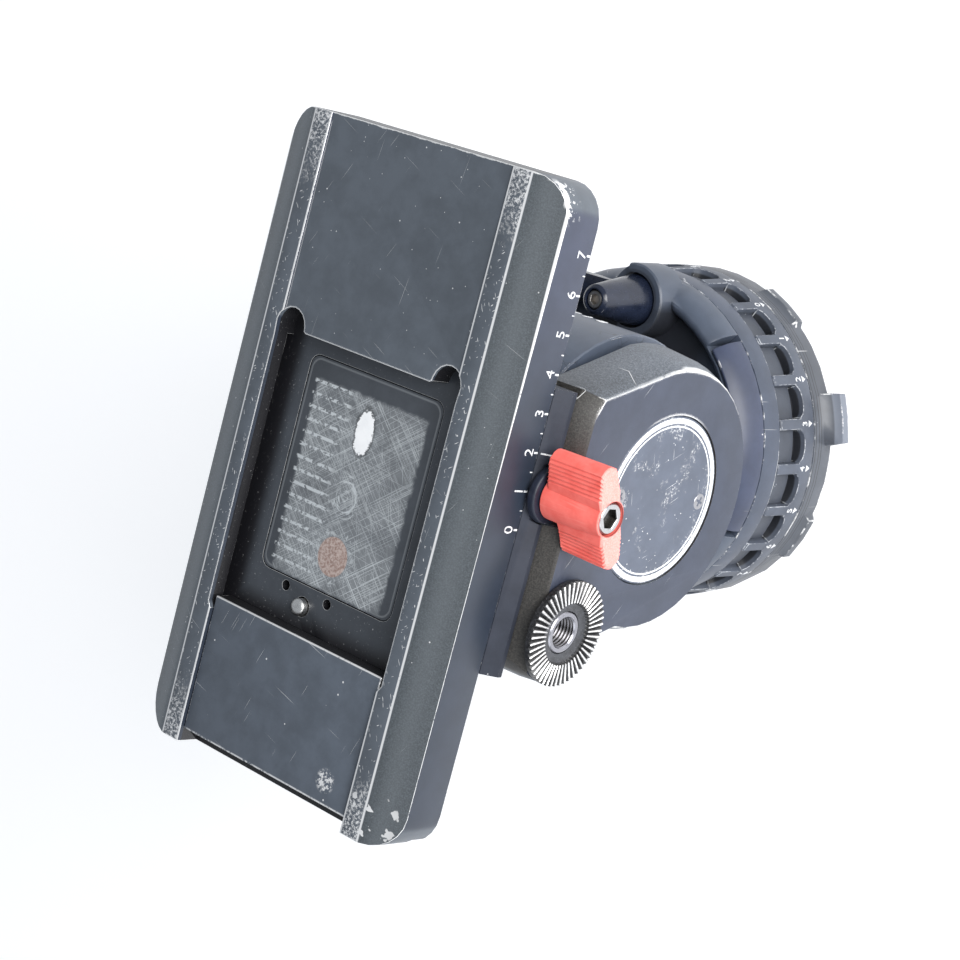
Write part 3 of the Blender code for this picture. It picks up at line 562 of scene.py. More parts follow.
    # dots, long scratches, a chipped front corner and blobs at the rear
    open_top = top * (1.0 - in_pocket)
    dots = open_top * p.most(p.specks(0.3, 0.075, 0.3), p.specks(0.8, 0.12, 0.10))
    marks = open_top * 0.45 * p.crossed((24.0, 22.0, 0.26, 0.24), (-61.0, 16.0, 0.22, 0.23),
                                        (98.0, 30.0, 0.30, 0.225))
    chips = ((1.0 - p.ramp(p.normal_z, 0.3, 0.5))
             * p.ramp(p.noise(0.75, 4.0, 0.7) + p.ramp(above, 2.2, 0.0) * 0.22, 0.57, 0.62)
             * p.ramp(p.y, 64.0, 70.0) * p.ramp(p.x, 41.0, 44.0) * p.ramp(p.z, 52.0, 55.0))
    blobs = (top * p.ramp(p.x, 31.0, 32.0) * p.ramp(p.y, -82.0, -88.0)
             * p.patches(0.34, 0.63, 0.66, 2.0, 0.5))
    wear = p.most(edge_wear, inner_edges, front_line, corner, side_line, rail_wear, rail_lines, dots,
                  marks, chips, blobs)
    pocket_wear = in_pocket * p.patches(1.3, 0.64, 0.72, 4.0, 0.8) * 0.5
    wear = p.most(wear * (1.0 - in_pocket * 0.6), pocket_wear)
    return metal_shading(p, base, wear, grain * 0.5 - wear * 0.4, p.ramp(wall, 0.0, 1.0, 0.42, 0.10), 0.32)


def insert_finish():
    """The rear insert: blue-grey with worn front and rear edges, one rubbed cluster, and painted shade that
    makes it near black below its top face.
    """
    p = Paint("insert_finish", TILT_FRAME)
    high_z = INSERT_HIGH.z
    # painted shade: below its top face the insert is near black
    base = p.mix(p.ramp(p.z, high_z - 0.3, high_z - 0.5), tinted(p, (0.070, 0.084, 0.106), 0.14), NEAR_BLACK)
    ragged = p.ragged(0.3, 1.7)
    front = p.ramp(p.y, INSERT_HIGH.y - 0.5, INSERT_HIGH.y - 0.2) * p.ramp(ragged, 0.40, 0.52)
    rear = p.ramp(p.y, INSERT_LOW.y + 0.7, INSERT_LOW.y + 0.3) * p.ramp(ragged, 0.44, 0.56)
    cluster_place = (22.0, -88.0, high_z)
    cluster = (p.ramp(p.vector("DISTANCE", p.position, cluster_place), 3.6, 2.0)
               * p.patches(0.9, 0.48, 0.56))
    marks = 0.7 * p.crossed((15.0, 30.0, 0.3, 0.25), (-70.0, 18.0, 0.25, 0.24))
    wear = p.most(front, rear, p.worn_edge(ragged, 0.52), cluster, marks, p.specks(0.25, 0.08, 0.3))
    return metal_shading(p, base, wear * p.ramp(p.z, high_z - 0.55, high_z - 0.35), p.noise(2.5, 3.0, 0.8),
                         0.42, 0.32)


def label_finish():
    """A scuffed plate: thin outline, rubbed silver middle, one bare spot and a brown round one."""
    p = Paint("label_finish", TILT_FRAME)
    low, high = PLATE_LOW, PLATE_HIGH
    bare_y, bare_half_x, bare_half_y = -1.4, 3.1, 6.0
    swirl_place, brown_place, brown_radius = (-1.0, -19.0, high.z), (0.0, -35.0, high.z), 5.4
    row_start, rows_per_mm = -60.0, 0.29
    fine = p.noise(0.8, 4.0, 0.7)
    cross = p.crossed((-38.0, 24.0, 0.20, 0.40), (42.0, 24.0, 0.22, 0.40), (5.0, 18.0, 0.20, 0.34),
                      (70.0, 14.0, 0.20, 0.34))
    wander = p.noise(0.25, 3.0, 0.6) * 2.4
    middle = (p.within(p.x + wander, low.x + 5.2, high.x - 2.6, 0.7)
              * p.within(p.y + wander, low.y + 1.6, high.y - 4.5, 0.7))
    rubbed = middle * p.ramp(p.noise(0.07, 4.0, 0.65), 0.34, 0.62, 0.55, 1.15) * (cross * 0.42 + 0.20)
    row = p.math("FRACT", (p.y - row_start) * rows_per_mm)
    dashes = (p.within(row, 0.28, 0.56, 0.05) * p.patches(0.7, 0.45, 0.50, 2.0, 0.6)
              * p.ramp(p.x + p.noise(0.1) * 14.0, 4.0, -2.0) * p.within(p.x, low.x + 3.0, 20.0, 0.4)
              * p.within(p.y, low.y + 3.0, high.y - 5.0, 0.4))
    oval = p.joined(p.x * (1.0 / bare_half_x), (p.y - bare_y) * (1.0 / bare_half_y), 0.0)
    reach = p.vector("LENGTH", oval) + fine * 0.8 - 0.4
    bare_spot = p.ramp(reach, 1.04, 0.94)
    dark_rim = p.ramp(reach, 1.25, 1.1) * (1.0 - bare_spot) * 0.6
    from_swirl = p.vector("DISTANCE", p.position, swirl_place)
    rings = p.noise(0.9, 4.0, 0.7, p.joined(from_swirl, p.x * 0.15, p.y * 0.15))
    swirl = p.ramp(from_swirl, 8.0, 5.0) * p.ramp(rings, 0.50, 0.60)
    from_brown = p.vector("DISTANCE", p.position, brown_place)
    halo = (p.within(from_brown, brown_radius, brown_radius + 2.4, 0.3) * p.ramp(fine, 0.52, 0.60) * 0.6)
    wear = p.most(rubbed, swirl * 0.75, halo, thin_outline(p, low, high) * 0.14, dashes * 0.85,
                  p.specks(0.5, 0.1, 0.1) * 0.6)
    colour = p.mix(wear, tinted(p, (0.050, 0.057, 0.068), 0.15, 0.08), (0.70, 0.74, 0.76))
    colour = p.mix(dark_rim, colour, (0.02, 0.022, 0.025))
    colour = p.mix(bare_spot, colour, (0.88, 0.89, 0.90))
    copper = p.mix(p.patches(1.2, 0.38, 0.62), (0.26, 0.165, 0.135), (0.50, 0.40, 0.36))
    colour = p.mix(p.ramp(from_brown, brown_radius, brown_radius - 0.3) * 0.9, colour, copper)
    return p.output(colour, p.ramp(wear, 0.0, 1.0, 0.42, 0.3), wear * 0.5, cross, 0.2, 0.04)


def thin_outline(p, low, high):
    """A thin rounded line just inside a plate's edge."""
    inset, radius = 0.7, 3.0
    dx = abs(p.x) - (high.x - inset - radius)
    dy = abs(p.y - (low.y + high.y) / 2) - ((high.y - low.y) / 2 - inset - radius)
    outside = p.vector("LENGTH", p.joined(p.most(dx, 0.0), p.most(dy, 0.0), 0.0))
    return p.near(outside + p.math("MINIMUM", p.most(dx, dy), 0.0) - radius, 0.0, 0.25, 0.15)


def cheek_finish(name, offset):
    """Blue-grey outer face, speckled shoulders darkened with painted shade on their platform side, and bare
    metal along the face's front edge.
    """
    p = Paint(name, TILT_FRAME)
    outward = abs(p.normal_x)
    face = p.ramp(outward, 0.93, 0.99)
    grain = p.noise(2.2, 4.0, 0.85)
    speckle = p.ramp(grain, 0.38, 0.72)
    round_side = p.mix(speckle, (0.055, 0.063, 0.077), (0.195, 0.220, 0.255))
    # the olive-brown speckle is the shoulder's own colour; its darkness on the platform side is painted shade
    # from the platform above
    platform_side_painted_shade = p.mix(speckle, (0.010, 0.009, 0.008), (0.052, 0.049, 0.044))
    shoulder = p.mix(p.ramp(p.normal_z, 0.25, 0.6), round_side, platform_side_painted_shade)
    base = p.mix(face, shoulder, tinted(p, (0.035, 0.043, 0.067), 0.12))
    ragged = p.ragged(0.16, 1.5, 0.8, 0.4, 0.65) + offset
    by_face = p.ramp(abs(p.x), 54.0, 54.6)
    front_arc = p.ramp(p.y, 18.0, 23.0) * p.ramp(p.z, -16.0, -2.0)
    band = front_arc * by_face * p.ramp(p.rim(1.2, 12.0) * 0.7 + ragged, 0.90, 1.04)
    line = (by_face * p.within(outward, 0.5, 0.9, 0.05) * p.ramp(p.normal_z, 0.3, 0.1)
            * p.ramp(ragged, 0.44, 0.58))
    edges = p.worn_edge(ragged + p.ramp(p.z, 0.0, -10.0) * 0.25, 0.56) * p.ramp(p.z, 30.0, 24.0)
    marks = 0.7 * p.scratches(35.0, 20.0, 0.3, 0.235, axis="X_AXIS")
    wear = p.most(edges, band, line, marks, face * p.most(p.specks(0.35, 0.09, 0.25),
                                                          p.specks(0.9, 0.12, 0.04)))
    return metal_shading(p, base, wear, grain + p.noise(5.0, 2.0) * 0.4, 0.5, 0.32, 0.35, 0.06)


def bracket_finish():
    """The dark plate under the platform, with a worn front edge."""
    p = Paint("bracket_finish", TILT_FRAME)
    wear = p.most(p.worn_edge(p.ragged(0.25, 1.6) + p.ramp(p.y, 23.0, 24.5) * 0.2, 0.60, 0.12),
                  0.6 * p.specks(0.4, 0.1, 0.15))
    return p.output(p.mix(wear, tinted(p, (0.026, 0.030, 0.042), 0.15), BARE),
                    p.ramp(wear, 0.0, 1.0, 0.55, 0.32), wear * 0.5, p.noise(2.5, 3.0, 0.8), 0.25, 0.05,
                    specular_ior_level=0.2)


def housing_finish():
    """The drum and collar: smooth blue-grey, with fine cracks on the drum, worn rims, and painted shade in
    the collar's cavity, beside the knob and in the knob's pocket.
    """
    p = Paint("housing_finish")
    web = p.cells(0.35, p.vector("MULTIPLY", p.position, (0.35, 1.0, 1.0)), "DISTANCE_TO_EDGE")["Distance"]
    cracks = p.ramp(p.z, 47.0, 48.5) * p.ramp(web, 0.035, 0.012) * p.ramp(p.noise(0.12, 3.0), 0.48, 0.6)
    base = p.mix(cracks * 0.8, tinted(p, (0.057, 0.071, 0.100), 0.16, 0.06), (0.02, 0.021, 0.024))
    from_knob = p.from_z_line(KNOB_AXIS.x, KNOB_AXIS.y)
    below_rim = p.ramp(p.z, 46.4, 46.0)
    # painted shade: the collar's cavity is near black, strongest close to the knob
    cavity_painted_shade = (p.ramp(p.x ** 2.0 + p.y ** 2.0, 41.2 ** 2, 40.6 ** 2) * p.ramp(p.z, 46.8, 45.8)
              * p.ramp(from_knob, 30.0, 20.0, 0.15, 1.0))
    beside_knob_painted_shade = p.ramp(from_knob, 12.0, 11.0) * p.ramp(p.y, KNOB_AXIS.y + 4.0, KNOB_AXIS.y - 2.0)
    # all painted shade: the cavity, the slit beside the knob, and the knob's pocket below the rim
    dark = p.most(cavity_painted_shade, p.ramp(from_knob, 9.0, 8.6) * below_rim, beside_knob_painted_shade * below_rim)
    base = p.mix(dark * 0.85, base, NEAR_BLACK)
    wear = p.most(0.8 * p.worn_edge(p.ragged(0.12, 1.4, 0.9, 0.35, 0.65), 0.64),
                  0.7 * p.specks(0.3, 0.08, 0.15), 0.6 * p.scratches(20.0, 25.0, 0.35, 0.235))
    return metal_shading(p, base, wear * (1.0 - dark), p.noise(3.0, 3.0, 0.8), 0.40, 0.32, 0.15)


def worn_grey(name, colour, start=0.60, grooves=(), painted_light_from=None):
    """A smooth grey part with rubbed edges.

    Where asked, it has dark lines round it at some heights, and painted light makes it paler outside a
    radius.
    """
    p = Paint(name)
    base = tinted(p, colour, 0.16, 0.07)
    # painted light: outside the radius (the flange's lugs) the colour is 2.3 times lighter
    if painted_light_from:
        base = p.mix(p.ramp(p.from_z_line(), painted_light_from, painted_light_from + 0.6), base, scaled(colour, 2.3))
    for height in grooves:
        base = p.mix(0.8 * p.near(p.z, height, 0.14, 0.06), base, NEAR_BLACK)
    wear = p.most(0.85 * p.worn_edge(p.ragged(0.14, 1.4, 0.9, 0.35, 0.65), start),
                  0.7 * p.specks(0.3, 0.08, 0.2), 0.5 * p.scratches(15.0, 20.0, 0.3, 0.235))
    return metal_shading(p, base, wear, p.noise(3.0, 3.0, 0.8), 0.42, 0.35, 0.2)


def ring_finish():
    """Grip plastic: grey pads, rubbed rib edges and hollows darkened with painted shade."""
    p = Paint("ring_finish")
    # painted shade: the hollows between the ribs are darkened, most of all below band + 0.9 mm
    hollow = (p.ramp(p.from_z_line(), RING_HIGH.x - 1.2, RING_HIGH.x - 1.8)
              * p.ramp(p.z, RING_LOW.z + 0.5, RING_LOW.z + 1.0)
              * p.ramp(p.z, RING_BAND + 1.3, RING_BAND + 0.9, 0.38, 0.93))
    base = p.mix(hollow, tinted(p, (0.060, 0.070, 0.093), 0.18, 0.09), (0.008, 0.009, 0.012))
    wear = p.most(p.worn_edge(p.ragged(0.3, 1.6), 0.50) * 0.6, 0.5 * p.specks(0.4, 0.09, 0.2))
    return p.output(p.mix(wear, base, (0.55, 0.57, 0.60)), 0.5, 0.0, p.noise(4.0, 3.0, 0.8), 0.3, 0.05)


def satin_black(name, place=ROW_FRAME, rough=0.26, start=0.60):
    """Black anodising that glints where its edges are worn."""
    p = Paint(name, place)
    wear = p.worn_edge(p.ragged(0.3, 1.6), start, 0.12)
    colour = p.mix(wear, tinted(p, (0.010, 0.014, 0.028), 0.3), (0.30, 0.30, 0.32))
    return p.output(colour, p.ramp(p.noise(0.7), 0.3, 0.7, rough - 0.04, rough + 0.08), 0.0,
                    p.noise(2.0, 3.0, 0.7), 0.12, 0.04)


def rosette_finish():
    """Black teeth with bare crests and a dished centre painted lighter blue-grey as painted sheen."""
    p = Paint("rosette_finish", TILT_FRAME)
    crest = p.ramp(abs(p.x) + p.noise(1.1, 4.0, 0.7) * 0.28, ROSETTE_HIGH.x - 0.22, ROSETTE_HIGH.x + 0.02)
    base = p.mix(p.ramp(p.noise(1.4, 4.0), 0.4, 0.7), (0.011, 0.011, 0.012), (0.032, 0.033, 0.036))
    # painted sheen: the dish inside the teeth is a lighter, mottled blue-grey
    base = p.mix(p.ramp(p.from_x_line(ROSETTE_Y, ROSETTE_Z), 8.2, 7.8), base,
                 tinted(p, (0.030, 0.032, 0.038), 0.4, 0.5))
    flecks = p.patches(3.0, 0.60, 0.70, 4.0, 0.8) * 0.25
    return metal_shading(p, base, p.most(crest, flecks), p.noise(2.0), 0.38, 0.30, 0.2)


def steel_finish(name, tone=(0.56, 0.56, 0.57), rough=0.28, grain=1.0, place=ROW_FRAME, hollow=None):
    """Turned steel with faint rings and small dark stains, darkened with painted shade wherever hollow(p) is
    1.
    """
    p = Paint(name, place)
    stain = p.ramp(p.noise(0.5 * grain, 4.0, 0.7), 0.55, 0.72)
    lines = p.noise(1.0, 2.0, vector=p.vector("MULTIPLY", p.position, (0.4, 4.0, 9.0)))
    colour = p.mix(stain * 0.5, tone, scaled(tone, 0.45))
    if hollow:
        # painted shade where hollow(p) is 1
        colour = p.mix(hollow(p) * 0.9, colour, (0.03, 0.026, 0.022))
    return p.output(colour, p.ramp(lines, 0.3, 0.7, rough - 0.06, rough + 0.1), 1.0, lines, 0.1, 0.02)


def red_finish():
    """Salmon-red plastic: pale rubbed end face, lighter streaks along the ribs, and painted shade in the
    bore's mouth.
    """
    p = Paint("red_lever_finish", TILT_FRAME)
    base = p.mix(p.patches(0.25, 0.3, 0.7, 4.0, 0.6), (0.79, 0.125, 0.100), (0.87, 0.175, 0.145))
    end = p.ramp(p.x, LEVER_HIGH.x - 0.7, LEVER_HIGH.x - 0.1)
    frost = p.noise(2.6, 4.0, 0.85)
    streak = p.noise(1.0, 3.0, vector=p.vector("MULTIPLY", p.position, (0.05, 1.6, 1.6)))
    pale = p.most(end * (p.ramp(frost, 0.42, 0.62) * 0.42 + 0.32), p.ramp(streak, 0.56, 0.7) * 0.16,
                  p.edge() * 0.25)
    colour = p.mix(pale, base, (0.90, 0.42, 0.38))
    # painted shade: the wall at the bore's mouth is darkened to deep red
    bore = end * p.ramp(p.from_x_line(LEVER_Y, LEVER_Z), 4.75, 4.55)
    colour = p.mix(bore * 0.8, colour, (0.22, 0.008, 0.006))
    return p.output(colour, 0.5, 0.0, p.noise(2.4, 4.0, 0.85) + streak * 0.5, 0.25, 0.08,
                    subsurface_weight=0.06, subsurface_radius=(0.002, 0.0008, 0.0006))


def plain_finish(name, drift, low, high, dark, light, rough, bump, **constants):
    """Two colours that drift into each other between low and high of one noise, over another."""
    p = Paint(name)
    scale, strength, distance = bump
    return p.output(p.mix(p.ramp(p.noise(*drift), low, high), dark, light), rough, 0.0, p.noise(scale),
                    strength, distance, **constants)


def disc_finish():
    """The cover disc's grey face with pale scuffs across it."""
    p = Paint("disc_finish", TILT_FRAME)
    scuffs = p.patches(0.13, 0.52, 0.62, 3.0, 0.6) * p.patches(1.5, 0.50, 0.64, 5.0, 0.8)
    arcs = 0.8 * p.crossed((62.0, 12.0, 0.3, 0.26, 0.0, "X_AXIS"), (-20.0, 14.0, 0.3, 0.25, 5.0, "X_AXIS"))
    wear = p.most(scuffs * 0.75, arcs, p.specks(0.5, 0.1, 0.2))
    return metal_shading(p, tinted(p, (0.073, 0.087, 0.120), 0.12), wear, p.noise(2.5, 3.0, 0.8),
                         0.42, 0.35, 0.2)


# ---- pieces -----------------------------------------------------------------------------------
def build_platform(white):
    refine("sliding_platform", "platform_body", platform_finish(), width=0.28)
    refine("rear_insert", "rear_insert_plate", insert_finish(), width=0.35)
    plate = rounded_rectangle(PLATE_LOW.x, PLATE_HIGH.x, PLATE_LOW.y, PLATE_HIGH.y, 2.9)
    build("pocket_scuff_plate", [prism(plate, PLATE_LOW.z, PLATE_HIGH.z)], label_finish(), "platform",
          replaced=("pocket_plate",), width=0.12)
    build_scale(white)
    radius, rounding = 2.35, 1.1
    dome = [(0.0, PIN_LOW.z), (radius - 0.05, PIN_LOW.z), (radius, PIN_HIGH.z - rounding)]
    dome += [(radius * math.cos(a), PIN_HIGH.z - rounding + rounding * math.sin(a))
             for a in (math.radians(15.0 * k) for k in range(1, 6))] + [(0.0, PIN_HIGH.z)]
    centre = (PIN_LOW + PIN_HIGH) / 2
    build("release_pin_head", [moved(turned(dome, segments=40), centre.x, centre.y)],
          steel_finish("pin_steel", (0.66, 0.66, 0.65), 0.3), "release_pin",
          replaced=("release_pin",))


def build_scale(white):
    """Numerals 0 to 7 with full and half ticks along the lower edge of the right side face."""
    face = PLATFORM_HIGH.x - 0.02
    foot = PLATFORM_LOW.z + 0.12
    shapes = []

    def tick(y, half_width, height):
        shapes.append(block(face, face + 0.07, y - half_width, y + half_width, foot, foot + height))

    for k in range(SCALE_MARKS):
        y = SCALE_ZERO + SCALE_STEP * k
        tick(y, 0.25, 1.35)
        if k < SCALE_MARKS - 1:
            tick(y + SCALE_STEP / 2, 0.15, 0.9)
        shapes.append(lettering(str(k), 3.1, 0.08, Vector((face + 0.035, y, foot + 3.2)), Y_UNIT, Z_UNIT))
    build("side_scale", shapes, white, "platform")


def build_index(white):
    """The index line on the bracket's sloping strip."""
    y, low, high = 8.5, (51.05, 41.75), (48.75, 44.85)
    loops = [[(x + 0.05, y - 0.2, z + 0.04), (x + 0.05, y + 0.2, z + 0.04), (x - 0.1, y + 0.2, z - 0.1),
              (x - 0.1, y - 0.2, z - 0.1)] for x, z in (low, high)]
    build("scale_index", [loft(loops)], white, "tilt_body")


def build_cheeks():
    refine("tilt_bracket", "bracket_plate", bracket_finish(), width=0.3)
    for side, offset in (("right", 0.0), ("left", -0.05)):
        refine(f"{side}_cheek", f"{side}_cheek_shell", cheek_finish(f"{side}_cheek_finish", offset),
               width=0.4, angle=24.0)


def build_rosettes():
    """A dished ring with a fan of sharp radial teeth, and a threaded steel bush in its middle."""
    finish = rosette_finish()
    low, high, outer = ROSETTE_LOW.x, ROSETTE_HIGH.x, ROSETTE_RADIUS
    inner, dish, bore = 8.3, 5.75, 4.0
    root = high - 1.0

    def thread_roots(p):
        # painted shade deep in the bush's threaded bore
        below = p.ramp(abs(p.x), high - 1.7, high - 2.3)
        return p.ramp(p.from_x_line(ROSETTE_Y, ROSETTE_Z), bore + 0.1, bore + 0.45, 0.55, 1.0) * below

    def fan(side):
        loops = []
        for k in range(4 * ROSETTE_TEETH):
            a = 2.0 * math.pi * k / (4 * ROSETTE_TEETH)
            rise = (0.0, 0.62, 1.0, 0.62)[k % 4]
            flank, crest = root + 0.75 * rise, root + rise
            profile = [(outer, low), (outer, flank), (outer - 0.25, crest), (inner + 0.25, crest),
                       (inner, flank), (inner - 0.4, high - 1.15), (dish + 1.4, high - 1.55),
                       (dish, high - 1.6), (dish, low)]
            loops.append([(side * x, ROSETTE_Y + r * math.cos(a), ROSETTE_Z + r * math.sin(a))
                          for r, x in profile])
        return loft(loops, closed=True)

    steel = steel_finish("bush_steel", (0.30, 0.30, 0.33), 0.28, 1.0, TILT_FRAME, thread_roots)
    pitch = 1.05
    for side, name in ((1.0, "right"), (-1.0, "left")):
        build(f"{name}_rosette_teeth", [fan(side)], finish, "tilt_body",
              replaced=(f"{name}_rosette",))
        near, far = sorted(abs(corner.x) for corner in tilt_box(f"{name}_rosette_insert"))
        thread = [(5.6, near), (5.6, far - 0.3), (5.3, far), (bore + 0.35, far), (bore, far - 0.4)]
        for k in range(int((far - 0.6 - near) / pitch)):
            ridge = far - 0.4 - k * pitch
            thread += [(bore + 0.55, ridge - pitch * 0.45), (bore, ridge - pitch * 0.85)]
        thread.append((bore, near))
        bush = moved(turned([(r, side * x) for r, x in thread], "X", 56), 0.0, ROSETTE_Y, ROSETTE_Z)
        build(f"{name}_rosette_bush", [bush], steel, "tilt_body",
              replaced=(f"{name}_rosette_insert",))


def wing_outline(half, hub):
    """The clamp lever's end view: a hub between two tapering wings with ribbed flanks."""
    tip, pitch, flank, samples = 2.9, 1.1, 0.38, 60
    centre = half - tip
    start, stop = centre + 2.2, 6.2

    def ribbed(sign, direction):
        line = []
        for k in range(samples + 1):
            u = start + (stop - start) * k / samples
            if u > centre:
                thickness = math.sqrt(tip ** 2 - (u - centre) ** 2)
            else:
                thickness = tip + 0.7 * ((centre - u) / (centre - stop)) ** 1.6
            v = thickness + flank * (0.5 - 0.5 * math.cos(2.0 * math.pi * (start - u) / pitch))
            line.append((direction * u, sign * v))
        return line

    return (arc(centre, 0.0, tip, 40, -40, 8)
            + ribbed(-1.0, 1.0) + arc(0.0, 0.0, hub, -46, -134, 12) + ribbed(-1.0, -1.0)[::-1]
            + arc(-centre, 0.0, tip, 220, 140, 8)
            + ribbed(1.0, -1.0) + arc(0.0, 0.0, hub, 134, 46, 12) + ribbed(1.0, 1.0)[::-1])


def build_lever():
    red = red_finish()
    cosine, sine = math.cos(LEVER_ANGLE), math.sin(LEVER_ANGLE)
    inner, outer = LEVER_LOW.x, LEVER_HIGH.x
    bore, depth = 4.5, 3.4

    def inner_end(u):
        """The upper wing starts nearer the platform than the lower one, which clears the cheek."""
        blend = min(1.0, max(0.0, (u + 5.0) / 10.0))
        return inner + 4.0 - 3.0 * blend

    # each section: a height above the inner end, or a place beyond it, then shrink, half length, hub
    sections = ((0.0, 0.5, 13.2, 5.7), (0.5, 0.0, 13.7, 5.7), (outer - 3.0, 0.0, 14.0, 5.1),
                (outer - 0.5, 0.0, 14.0, 5.0), (outer, 0.5, 13.7, 5.0))
    loops = []
    for level, shrink, half, slim in sections:
        loop = []
        for u, v in wing_outline(half, slim):
            u, v = u * (1.0 - shrink / 14.0), v * (1.0 - shrink / 5.0)
            x = level if level > 1.0 else inner_end(u) + level
            loop.append((x, LEVER_Y + u * cosine - v * sine, LEVER_Z + u * sine + v * cosine))
        loops.append(loop)
    hub = [(bore, outer - 0.3), (4.9, outer - 0.3), (5.2, outer - 3.0), (5.9, inner + 4.0),
           (5.9, inner + 0.4), (5.5, inner), (1.0, inner), (1.0, outer - depth), (bore, outer - depth)]
    wings = build("clamp_lever_grip", [loft(loops)], red, "clamp_lever",
                  replaced=("clamp_lever",))
    carve_round(wings, Vector((outer, LEVER_Y, LEVER_Z)), bore, depth)
    build("clamp_lever_hub", [moved(turned(hub, "X", 56), 0.0, LEVER_Y, LEVER_Z)], red, "clamp_lever")
    screw_face = tilt_box("clamp_lever_screw")[1].x
    # painted shade inside the screw's hex socket, below 0.2 mm under its face
    steel = steel_finish("lever_screw_steel", (0.46, 0.46, 0.47), 0.3, 1.0, TILT_FRAME,
                         lambda p: p.ramp(p.x, screw_face - 0.2, screw_face - 0.7))
    socket_screw("clamp_lever_socket_screw", (screw_face, LEVER_Y, LEVER_Z), 4.1, 2.4, "X", steel,
                 "clamp_lever", "clamp_lever_screw", TILT_FRAME)
    black = satin_black("lever_collar_black", TILT_FRAME, 0.45, 0.64)
    refine("clamp_lever_collar", "clamp_lever_boss", black, width=0.3)


def carve_round(obj, mouth, radius, depth):
    """Cut a round blind hole along X into a finished piece, from a mouth point in the tilt frame."""
    bm = bmesh.new()
    add_shape(bm, moved(prism(arc(0.0, 0.0, radius, 0, 352.5, 47), -depth, 1.0, "X"), *mouth), TILT_FRAME)
    bmesh.ops.recalc_face_normals(bm, faces=bm.faces)
    mesh = bpy.data.meshes.new("hole")
    bm.to_mesh(mesh)
    bm.free()
    cutter = bpy.data.objects.new("hole", mesh)
    bpy.context.scene.collection.objects.link(cutter)
    modifier = obj.modifiers.new("hole", "BOOLEAN")
    modifier.operation = "DIFFERENCE"
    modifier.solver = "EXACT"
    modifier.object = cutter
    graph = bpy.context.evaluated_depsgraph_get()
    carved = bpy.data.meshes.new_from_object(obj.evaluated_get(graph), depsgraph=graph)
    obj.modifiers.clear()
    obj.data = carved
    bpy.data.objects.remove(cutter)


def socket_screw(name, top, radius, half_key, axis, steel, body, node, place):
    """A cap screw's head with a hexagon socket; top is the middle of its outer face."""
    sixth = math.pi / 3.0

    def hexagon(grow):
        return lambda a: (half_key + grow) / math.cos((a + sixth / 2) % sixth - sixth / 2)

    outlines = [(radius, -2.4), (radius, -0.45), (radius - 0.4, 0.0),
                (hexagon(0.12), 0.0), (hexagon(0.0), -0.12), (hexagon(0.0), -1.7)]
    build(name, [moved(stepped(outlines, 48, axis), *top)], steel, body, place, (node,))


def cross_screw(node, steel):
    """A countersunk head on the disc with a cross recess, built as one cap of radial strips."""
    low, high = tilt_box(node)
    centre, face, radius = (low + high) / 2, high.x, (high.z - low.z) / 2
    arm, reach, turn, quarter = 0.34, radius * 0.62, math.radians(20.0), math.pi / 2.0

    def recess(shrink):
        def edge(a):
            off = (a + turn + quarter / 2) % quarter - quarter / 2
            return min(reach - shrink, (arm - shrink / 2.0) / max(abs(math.sin(off)), 1e-3))
        return edge

    outlines = [(radius, face - 0.9), (radius, face - 0.12), (radius - 0.12, face),
                (recess(0.0), face), (recess(0.06), face - 0.25), (recess(0.14), face - 0.6)]
    build(f"{node}_head", [moved(stepped(outlines, 64, "X"), 0.0, centre.y, centre.z)], steel, "tilt_body",
          replaced=(node,))


def build_disc(white):
    """The cover disc with a double white border and two cross-head screws."""
    face, bevel = DISC_HIGH.x, 0.25
    profile = [(0.0, DISC_LOW.x), (DISC_RADIUS, DISC_LOW.x), (DISC_RADIUS, face - bevel),
               (DISC_RADIUS - bevel, face), (0.0, face)]
    build("cover_disc_plate", [turned(profile, "X", 128)], disc_finish(), "tilt_body",
          replaced=("cover_disc",))
    low, high = face - 0.05, face + 0.06
    borders = [turned([(inner, low), (outer, low), (outer, high), (inner, high)], "X", 128)
               for inner, outer in ((20.9, 22.35), (19.9, 20.35))]
    build("disc_border", borders, white, "tilt_body")
    steel = steel_finish("disc_screw_steel", (0.36, 0.36, 0.38), 0.34)
    for node in ("disc_screw_upper", "disc_screw_lower"):
        cross_screw(node, steel)


